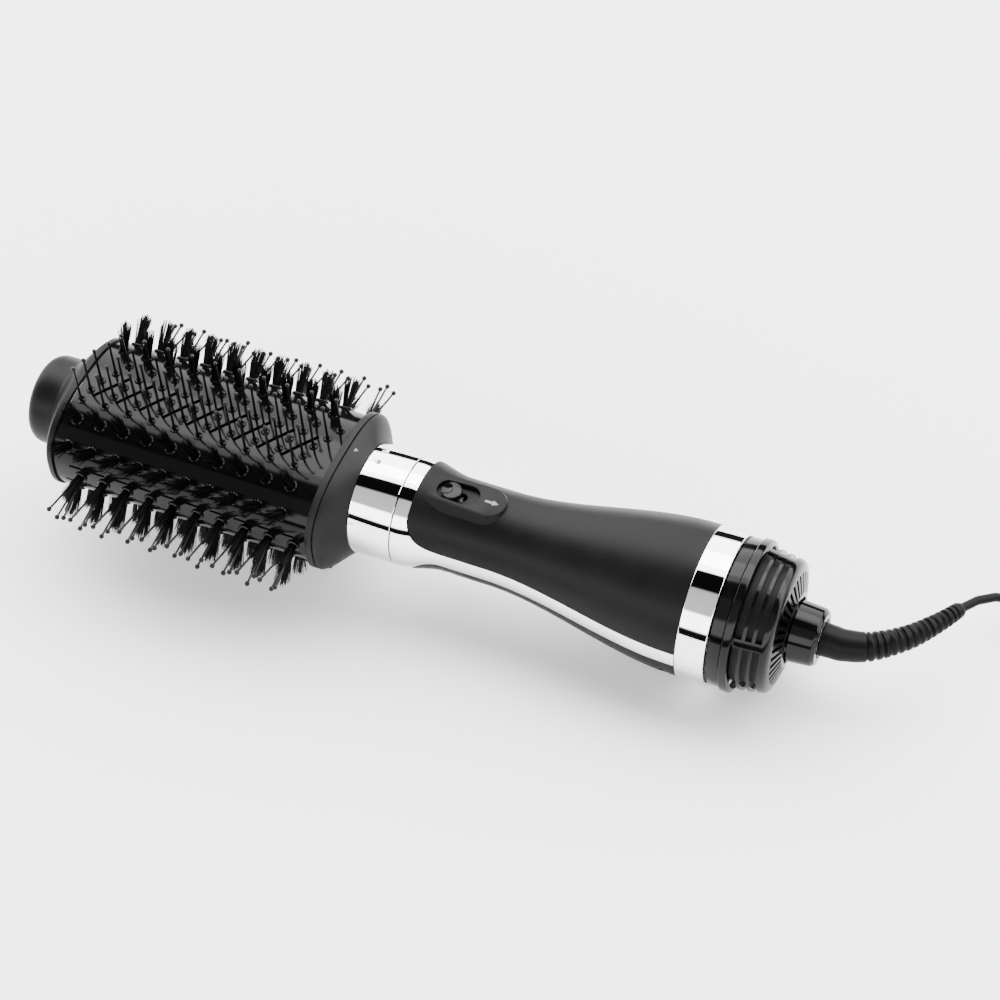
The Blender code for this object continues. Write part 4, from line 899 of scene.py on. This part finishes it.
def make_pins():
    bm = bmesh.new()
    for foot, normal, length in pin_places():
        pin = pin_stamp(length, 0.00056, 0.00100)
        up = Vector((0, 0, math.copysign(1.0, foot.z)))
        lean = Vector((rng.uniform(-0.012, 0.012), rng.uniform(-0.012, 0.012), 0.0))
        stamp(bm, pin, [Matrix.Translation(foot) @ facing(up + lean)])
        bpy.data.meshes.remove(pin)
    closed_faces(bm)
    piece("visual_pins", bm, NYLON, "brush_head", ("upper_pin_plate", "lower_pin_plate"))


def closed_faces(bm):
    bmesh.ops.recalc_face_normals(bm, faces=bm.faces)


def tuft_stamp():
    """One bundle of stiff bristles that fans out from its hole, longest in the middle, with ragged ends."""
    bm = bmesh.new()
    for _ in range(BRISTLES):
        a, reach = rng.uniform(0, 2 * math.pi), math.sqrt(rng.random())
        root = Vector((math.cos(a), math.sin(a), 0.0)) * reach * 0.0015
        fan = Vector((math.cos(a) * 0.85, math.sin(a) * 1.15, 0.0)) * reach * 0.17
        fan += Vector((rng.gauss(0, 0.03), rng.gauss(0, 0.03), 0.0))
        direction = (Vector((0, 0, 1)) + fan).normalized()
        length = 0.0164 - 0.0026 * reach * reach - abs(rng.gauss(0, 0.0014))
        middle = root + direction * (length / 2 - 0.0010)
        bmesh.ops.create_cone(bm, cap_ends=True, segments=3, radius1=0.00024, radius2=0.00011, depth=length,
                              matrix=Matrix.Translation(middle) @ facing(direction))
    return stamp_mesh(bm)


def make_tufts():
    """The bristle bundles of one side's rows, and the ball pins that stand among the wide-set ones."""
    stamps = [tuft_stamp() for _ in range(8)]
    pin = pin_stamp(0.0252, 0.00056, 0.00115)
    bundles, pins = bmesh.new(), bmesh.new()
    for place, angle in tuft_places():
        spin = Matrix.Rotation(rng.uniform(-0.5, 0.5), 4, "Z")
        lean = Matrix.Rotation(rng.gauss(0, 0.03), 4, "Y")
        stamp(bundles, rng.choice(stamps), [place @ spin @ lean])
        spread = (-0.12, 0.02, 0.13) if angle == 90 else ()
        for j, swing in enumerate(spread):
            across = (0.10 if j % 2 else -0.04) + rng.gauss(0, 0.02)
            tilt = Matrix.Rotation(swing + rng.gauss(0, 0.02), 4, "Y") @ Matrix.Rotation(across, 4, "X")
            foot = Matrix.Translation((swing * 0.004, 0, rng.uniform(-0.0022, 0.0004)))
            stamp(pins, pin, [place @ foot @ tilt])
    closed_faces(bundles)
    closed_faces(pins)
    names = [f"{side}_tuft_rail_{angle}" for side in ("near", "far") for angle in TUFT_ANGLES]
    piece("visual_tufts", bundles, BRISTLE, "brush_head", names, sharp=80)
    piece("visual_tuft_pins", pins, NYLON, "brush_head")


def make_head_ends():
    a, b = BARREL_HALF
    rear, g = X_BARREL - GAP / 2, TIP_RIM_PROUD
    rim, neck = (a + g, b + g, OVAL_POWER), (TIP_RADIUS, TIP_RADIUS, 2.0)
    stations = [(rear - 0.0003, 0.0)]
    stations += [(0.0216 - 0.0078 * t, smoothstep(t)) for t in (i / 16 for i in range(17))]
    rings = [(rear, a, b, OVAL_POWER)]
    rings += [blended(rim, neck, share, x) for x, share in stations]
    nose = ((0.0100, 0.0), (0.0062, 0.0), (0.0044, 0.0001), (0.0028, 0.0005), (0.0016, 0.0012),
            (0.0008, 0.0021), (0.0002, 0.0032), (0.0, 0.0042))
    rings += [(x, TIP_RADIUS - less, TIP_RADIUS - less, 2.0) for x, less in nose]
    bm = bmesh.new()
    oval_rings(bm, rings, 160, ring=False)
    piece("visual_cool_tip", bm, SOFT_BLACK, "brush_head", ("cool_tip",))
    front, rear, e = X_RIM + GAP / 2, X_COLLAR - GAP / 2, 0.0005
    bore = 0.0177
    bm = bmesh.new()
    p = RIM_PROUD
    outside = ((front, -0.0004), (front, p - e), (front + e * 0.3, p - e * 0.3), (front + e, p),
               (rear - e, p), (rear - e * 0.3, p - e * 0.3), (rear, p - e))
    oval_rings(bm, [(x, a + d, b + d, OVAL_POWER) for x, d in outside]
               + [(rear, bore, bore, 2.0), (front, bore, bore, 2.0)])
    piece("visual_rim", bm, MATT_GREY, "brush_head", ("barrel_rim",))
    bm = bmesh.new()
    oval_rings(bm, [collar_ring(t) for t in (i / 20 for i in range(21))]
               + [(X_LOCK - GAP / 2, bore, bore, 2.0), (X_COLLAR + GAP / 2, bore, bore, 2.0)])
    piece("visual_collar", bm, MATT_GREY, "brush_head", ("neck_collar",))
    make_collar_mark()


def collar_ring(t):
    """The collar's section a share of the way along it: from the oval rim in to the round neck."""
    front, rear = X_COLLAR + GAP / 2, X_LOCK - GAP / 2
    oval = (BARREL_HALF[0] + RIM_PROUD, BARREL_HALF[1] + RIM_PROUD, OVAL_POWER)
    neck = (LOCK_RADIUS + 0.0001, LOCK_RADIUS + 0.0001, 2.0)
    share = smoothstep((t - 0.02) / 1.02) * 0.55 + 0.45 * t ** 2
    x = front + (rear - front) * t
    if t < 0.04:
        oval = (oval[0] - 0.0004, oval[1] - 0.0004, OVAL_POWER)
    return blended(oval, neck, share, x)


def make_collar_mark():
    """A small pale triangle on top of the collar that shows where the lock lines up."""
    bm = bmesh.new()
    corners = ((0.30, -0.0010), (0.30, 0.0010), (0.48, 0.0))
    top = []
    for lift in (-0.0002, 0.00006):
        loop = []
        for t, y in corners:
            x, wide, tall, power = collar_ring(t)
            height = tall * (1 - abs(y / wide) ** power) ** (1 / power)
            loop.append(bm.verts.new((x, y + 0.0034, height + lift)))
        top.append(bm.faces.new(loop))
    bmesh.ops.bridge_loops(bm, edges=[edge for face in top for edge in face.edges])
    closed(bm)
    piece("collar_mark", bm, MARK_GREY, "brush_head", sharp=20)


# The lock, the handle and its trim

def make_lock():
    front, rear = X_LOCK + GAP / 2, X_BEZEL - GAP / 2
    bore = LOCK_RADIUS - 0.0018
    bm = bmesh.new()
    outline = [(rear, bore), (rear, LOCK_RADIUS), (front, LOCK_RADIUS), (front, 0.0200),
               (front + 0.0015, 0.0200), (front + 0.0015, bore)]
    lathe(bm, eased(outline, 0.0004), 192)
    piece("visual_lock_ring", bm, CHROME, "handle", ("lock_ring",))
    signs = (("locked_mark", -3.5, 0.0, MARK_GREY), ("unlocked_mark", -23.0, 0.0007, MARK_WHITE))
    for name, angle, shift, material in signs:
        bm = bmesh.new()
        padlock(bm, angle, shift)
        piece(name, bm, material, "handle", sharp=20)


def padlock(bm, angle, shift):
    """A plain padlock shape on the lock ring: a square body and a bow, closed or pushed aside."""
    def on_ring(x, y, lift):
        return around(X_LOCK + 0.0045 + x, LOCK_RADIUS + lift, angle + math.degrees(y / LOCK_RADIUS))

    for lift in (-0.0001, 0.00005):
        skin(bm, 4, 3, lambda i, j: on_ring(j / 3 * 0.0016, (i / 4 - 0.5) * 0.0024, lift))
        skin(bm, 12, 1, lambda i, j: on_ring(
            -(0.0009 + 0.0004 * j) * math.sin(math.pi * i / 12),
            -(0.0006 + 0.0004 * j) * math.cos(math.pi * i / 12) + shift, lift))
    bmesh.ops.recalc_face_normals(bm, faces=bm.faces)


def edge_height(x, grow=0.0):
    """How high above the middle the upper shell's lower edge is at a station: round at the front corner."""
    front = X_SHELL + GAP / 2 - grow
    low = STRIP_HALF + GAP - grow
    t = front + TONGUE_RADIUS - x
    if t <= 0:
        return low
    return low + TONGUE_RADIUS - math.sqrt(max(0.0, TONGUE_RADIUS ** 2 - min(t, TONGUE_RADIUS) ** 2))


def shell_stations():
    front, rear = X_SHELL + GAP / 2, X_BAND - GAP / 2
    corner = [front + TONGUE_RADIUS * (1 - math.cos(math.pi / 2 * i / 18)) for i in range(18)]
    return corner + [front + TONGUE_RADIUS + (rear - front - TONGUE_RADIUS) * i / 48 for i in range(49)]


def shell_skin(up):
    bm = bmesh.new()
    stations = shell_stations()

    def point(i, j):
        x = stations[j]
        radius = handle_radius(x)
        half = math.degrees(math.acos(min(1.0, edge_height(x) / radius)))
        return around(x, radius, half * (i / 36 - 1) + (0 if up > 0 else 180))

    skin(bm, 72, len(stations) - 1, point)
    outward_faces(bm)
    return bm


def outward_faces(bm):
    """Turns an open skin so that its faces look away from the axis."""
    bmesh.ops.recalc_face_normals(bm, faces=bm.faces)
    bm.faces.ensure_lookup_table()
    face = bm.faces[len(bm.faces) // 2]
    middle = face.calc_center_median()
    if face.normal.dot(Vector((0, middle.y, middle.z))) < 0:
        bmesh.ops.reverse_faces(bm, faces=bm.faces)


SOLID = ("SOLIDIFY", {"thickness": SHELL_WALL, "offset": -1.0, "use_even_offset": True})


def soft_edge(width):
    return "BEVEL", {"width": width, "segments": 2, "limit_method": "ANGLE", "angle_limit": math.radians(50)}


def make_shells():
    pod = pod_solid()
    front, rear = BUTTON_X, BUTTON_X + BUTTON_TRAVEL + 0.0030
    pocket = bmesh.new()
    stadium(pocket, rear - front + 2 * BUTTON_RADIUS + 0.0026, 2 * BUTTON_RADIUS + 0.0018, 0.0060,
            Matrix.Translation(((front + rear) / 2 - 0.0008, 0, WAIST_RADIUS - 0.0010 + 0.0030)))
    slot = bmesh.new()
    stadium(slot, BUTTON_TRAVEL + 0.0044, 0.0044, 0.0080,
            Matrix.Translation((BUTTON_X + BUTTON_TRAVEL / 2, 0, 0.0200)))
    upper = baked(shell_skin(1), SOLID, boolean("UNION", tool(pod)), boolean("DIFFERENCE", tool(pocket)),
                  boolean("DIFFERENCE", tool(slot)), soft_edge(0.00022))
    piece("visual_upper_shell", upper, SOFT_BLACK, "handle", ("upper_shell",),
          outward=handle_normal)
    holes = bmesh.new()
    for x in (X_SHELL + TONGUE_RADIUS + 0.0030, X_BAND - 0.0062):
        y = handle_radius(x) - SHELL_WALL - 0.0026
        for side in (1, -1):
            place = Matrix.Translation((x, side * y, -REAR_RADIUS))
            bmesh.ops.create_cone(holes, cap_ends=True, segments=28, radius1=0.0027, radius2=0.0027,
                                  depth=0.0500, matrix=place)
    lower = baked(shell_skin(-1), SOLID, boolean("DIFFERENCE", tool(holes)), soft_edge(0.00022))
    piece("visual_lower_shell", lower, SOFT_BLACK, "handle", ("lower_shell",),
          outward=handle_normal)
    make_arrow()
    make_button()


def pod_solid():
    """The raised flat over the slider: sides that lean out and a round rear end."""
    bm = bmesh.new()
    front, rear = X_SHELL + 0.0012, X_SHELL + POD_LENGTH
    levels = ((POD_TOP_HALF - 0.0005, POD_HEIGHT), (POD_TOP_HALF - 0.00012, POD_HEIGHT - 0.00014),
              (POD_TOP_HALF + 0.0001, POD_HEIGHT - 0.0005), (POD_BASE_HALF, WAIST_RADIUS * 0.72))
    steps = 28

    def point(i, j):
        half, height = levels[j]
        reach = rear + (half - POD_TOP_HALF) * 0.8
        if i == 0 or i == steps:
            return Vector((front, math.copysign(half, i - 1), height))
        a = math.pi * ((i - 1) / (steps - 2) - 0.5)
        return Vector((reach - half + half * math.cos(a), half * math.sin(a), height))

    skin(bm, steps, len(levels) - 1, point)
    for height in (levels[0][1], levels[-1][1]):
        ends = [v for v in bm.verts if abs(v.co.z - height) < 1e-9]
        bmesh.ops.contextual_create(bm, geom=ends)
    bmesh.ops.holes_fill(bm, edges=[e for e in bm.edges if e.is_boundary])
    closed(bm)
    return bm


def make_arrow():
    """A pale arrow behind the slider that points the way it slides."""
    bm = bmesh.new()
    x, low, high = X_SHELL + 0.0292, POD_HEIGHT - 0.0001, POD_HEIGHT + 0.00005
    neck, point, shaft, barb = 0.0034, 0.0062, 0.0006, 0.0014
    outline = ((0.0, -shaft), (neck, -shaft), (neck, -barb), (point, 0.0), (neck, barb), (neck, shaft),
               (0.0, shaft))
    face = bm.faces.new([bm.verts.new((x + u, v, low)) for u, v in outline])
    raised = bmesh.ops.extrude_face_region(bm, geom=[face])["geom"]
    corners = [v for v in raised if isinstance(v, bmesh.types.BMVert)]
    bmesh.ops.translate(bm, vec=(0, 0, high - low), verts=corners)
    bmesh.ops.recalc_face_normals(bm, faces=bm.faces)
    piece("slide_mark", bm, MARK_GREY, "handle", sharp=20)


def make_button():
    """The round thumb slider with a scooped front and a shallow lip."""
    top, floor = POD_HEIGHT + 0.0004, WAIST_RADIUS - 0.0010 + GAP
    bm = bmesh.new()
    outline = [(floor, 0.0), (floor, BUTTON_RADIUS), (top - 0.0004, BUTTON_RADIUS),
               (top - 0.0001, BUTTON_RADIUS - 0.0003), (top, BUTTON_RADIUS - 0.0008), (top, 0.0)]
    upright(bm, outline, 64, BUTTON_X)
    scoop = bmesh.new()
    bmesh.ops.create_uvsphere(scoop, u_segments=64, v_segments=32, radius=0.0050,
                              matrix=Matrix.Translation((BUTTON_X - 0.0028, 0, top + 0.0037)))
    mesh = baked(bm, boolean("DIFFERENCE", tool(scoop)))
    piece("visual_button", mesh, GLOSS_BLACK, "release_slider", ("slider_button",))


def make_trim():
    """The chrome bezel and the long strips that run back from it between the two shells."""
    front, rear = X_BEZEL + GAP / 2, X_SHELL + GAP / 2
    outer = [front + 0.0003 + (rear - front - 0.0003) * i / 12 for i in range(13)]
    outline = [(front, handle_radius(front) - 0.0004), *((x, handle_radius(x)) for x in outer),
               (rear, handle_radius(rear) - SHELL_WALL), (front, handle_radius(front) - SHELL_WALL)]
    bm = bmesh.new()
    lathe(bm, outline, 192)
    stations = shell_stations()
    for side in (1, -1):
        strip = bmesh.new()

        def point(i, j):
            x = stations[j]
            radius = handle_radius(x)
            high = min(edge_height(x, GAP), radius * 0.999)
            half = 90 - math.degrees(math.acos(high / radius))
            return around(x, radius, side * (90 + half * (i / 12 - 1)))

        skin(strip, 24, len(stations) - 1, point)
        outward_faces(strip)
        bm.from_mesh(baked(strip, SOLID))
    piece("visual_trim", bm, CHROME, "handle", ("chrome_trim",), outward=handle_normal)


def make_rear():
    band, wall = BAND_RADIUS, SHELL_WALL
    front, rear = X_BAND + GAP / 2, X_DIAL - GAP / 2
    bm = bmesh.new()
    corners = [(rear, band - wall), (rear, band), (front, band), (front, band - wall)]
    lathe(bm, eased(corners, 0.0006, 4), 192)
    piece("visual_band", bm, CHROME, "handle", ("rear_band",))
    front, rear = X_DIAL + GAP / 2, X_GRILLE - GAP / 2
    rim, hub = DIAL_RADIUS - 0.0045, 0.0110
    outline = [(rear, rim), (rear, DIAL_RADIUS), (front, DIAL_RADIUS), (front, rim),
               (front + 0.0006, rim - 0.0006), (front + 0.0006, hub), (front, hub), (front, 0.0070),
               (front + 0.0044, 0.0070), (front + 0.0044, hub), (front + 0.0024, hub),
               (front + 0.0024, rim - 0.0006)]
    bm = bmesh.new()
    lathe(bm, eased(outline, 0.0005), 192)
    piece("visual_dial", bm, GLOSS_BLACK, "dial", ("control_dial",))
    make_grille()
    front, rear = X_HUB + GAP / 2, X_EXIT
    outline = [(rear, HUB_BORE), (rear, HUB_END_RADIUS), (rear - 0.0016, HUB_RADIUS - 0.0008),
               (front, HUB_RADIUS), (front, HUB_BORE)]
    bm = bmesh.new()
    lathe(bm, eased(outline, 0.0003), 128)
    piece("visual_hub", bm, GLOSS_BLACK, "handle", ("swivel_hub",))


def make_grille():
    """The intake grille: three rows of long slots round it and narrow radial slots in its rear face."""
    front, rear = X_GRILLE + GAP / 2, X_HUB - GAP / 2
    lip, face = front + 0.0037, rear - 0.0030
    slots = [lip + 0.0006 + 0.0042 * i + 0.0027 * j for i in range(3) for j in (0, 1)]
    slope = (GRILLE_END_RADIUS - GRILLE_RADIUS) / (face - 0.0027 - slots[0])
    stations = [(front, GRILLE_LIP_RADIUS - 0.0002), (front + 0.0003, GRILLE_LIP_RADIUS),
                (lip - 0.0007, GRILLE_LIP_RADIUS), (lip - 0.0002, GRILLE_LIP_RADIUS - 0.0003),
                (lip, GRILLE_LIP_RADIUS - 0.0009)]
    stations += [(x, GRILLE_RADIUS + slope * (x - slots[0])) for x in slots]
    stations += [(face - 0.0027, GRILLE_END_RADIUS), (face - 0.0014, GRILLE_END_RADIUS - 0.0005),
                 (face - 0.0005, GRILLE_END_RADIUS - 0.0015), (face, GRILLE_FACE_RADIUS)]
    stations += [(face + 0.0030 * (GRILLE_FACE_RADIUS - r) / 0.0114, r) for r in (0.0246, 0.0164, 0.0146)]
    bm = bmesh.new()
    skin(bm, 144, len(stations) - 1, lambda i, j: around(*stations[j], 2.5 * i))
    holes = []
    for spot in bm.faces:
        middle = spot.calc_center_median()
        step = int(math.degrees(math.atan2(-middle.y, middle.z)) // 2.5)
        row = [k for k in (0, 2, 4) if slots[k] < middle.x < slots[k + 1]]
        if row and (step + 14) % 36 > 2:
            holes.append(spot)
        if middle.x > face and 0.0164 < math.hypot(middle.y, middle.z) < 0.0246 and step % 4 < 2:
            holes.append(spot)
    bmesh.ops.delete(bm, geom=holes, context="FACES")
    bmesh.ops.remove_doubles(bm, verts=bm.verts, dist=1e-7)
    outward_faces(bm)
    solid = ("SOLIDIFY", {"thickness": 0.0016, "offset": -1.0})
    grille = baked(bm, solid, soft_edge(0.00030))
    piece("visual_grille", grille, GLOSS_BLACK, "handle", ("intake_grille",))
    bm = bmesh.new()
    low, high = front + 0.0010, face - 0.0033
    lathe(bm, [(high, 0.0258), (high, 0.0261), (low, 0.0279), (low, 0.0276)], 144)
    piece("visual_screen", bm, MESH, "handle", ("intake_screen",))


def make_spring():
    """The latch's return spring, a fixed copy of the frame's spring; the real one shortens against the duct as
    the slider moves back.
    """
    node = bpy.data.objects["latch_spring"]
    bm = to_bmesh(node.data)
    bm.transform(PLACE.inverted() @ node.matrix_world)
    bmesh.ops.remove_doubles(bm, verts=bm.verts, dist=1e-6)
    stations = [vertex.co.x for vertex in bm.verts]
    anchor = PLACE @ Vector((max(stations), 0, next(iter(bm.verts)).co.z))
    spring = piece("visual_spring", bm, STEEL, "handle", ("latch_spring",))
    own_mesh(spring)


# Pieces kept from the frame

KEPT = (
    (NYLON, ("front_frame", "air_guide", "bayonet_ring", "rear_frame", "air_duct", "motor_carrier",
             "fan_impeller")),
    (STEEL, ("tip_screw", "release_latch", "heater_coil", "thermostat", "fan_motor",
             "shell_screw_1", "shell_screw_2", "shell_screw_3", "shell_screw_4")),
    (MATT_GREY, ("head_spigot",)),
    (GLOSS_BLACK, ("rotary_switch",)),
    (BOARD, ("circuit_board",)),
    (RUBBER, ("swivel_sleeve",)),
    (MICA, ("heat_shield", "mica_frame")),
    (CERAMIC, ("thermal_fuse",)),
    (BRASS, ("plug_blade_1", "plug_blade_2")),
)


def dress_kept_nodes():
    for material, names in KEPT:
        for name in names:
            mesh = bpy.data.objects[name].data
            if not mesh.materials:
                mesh.materials.append(material)
            for i in range(len(mesh.materials)):
                mesh.materials[i] = material


def clear_tools():
    for item in list(bpy.data.objects):
        if item.name.startswith("tool"):
            bpy.data.objects.remove(item)


make_camera()
make_lead()
make_barrel()
make_pins()
make_tufts()
make_head_ends()
make_lock()
make_shells()
make_trim()
make_rear()
make_spring()
dress_kept_nodes()
clear_tools()
make_stage()
softbox("key_light", (0.0, 0.75, 1.45), (0.0, 0.0, 0.03), (5.0, 0.7), 55.0)
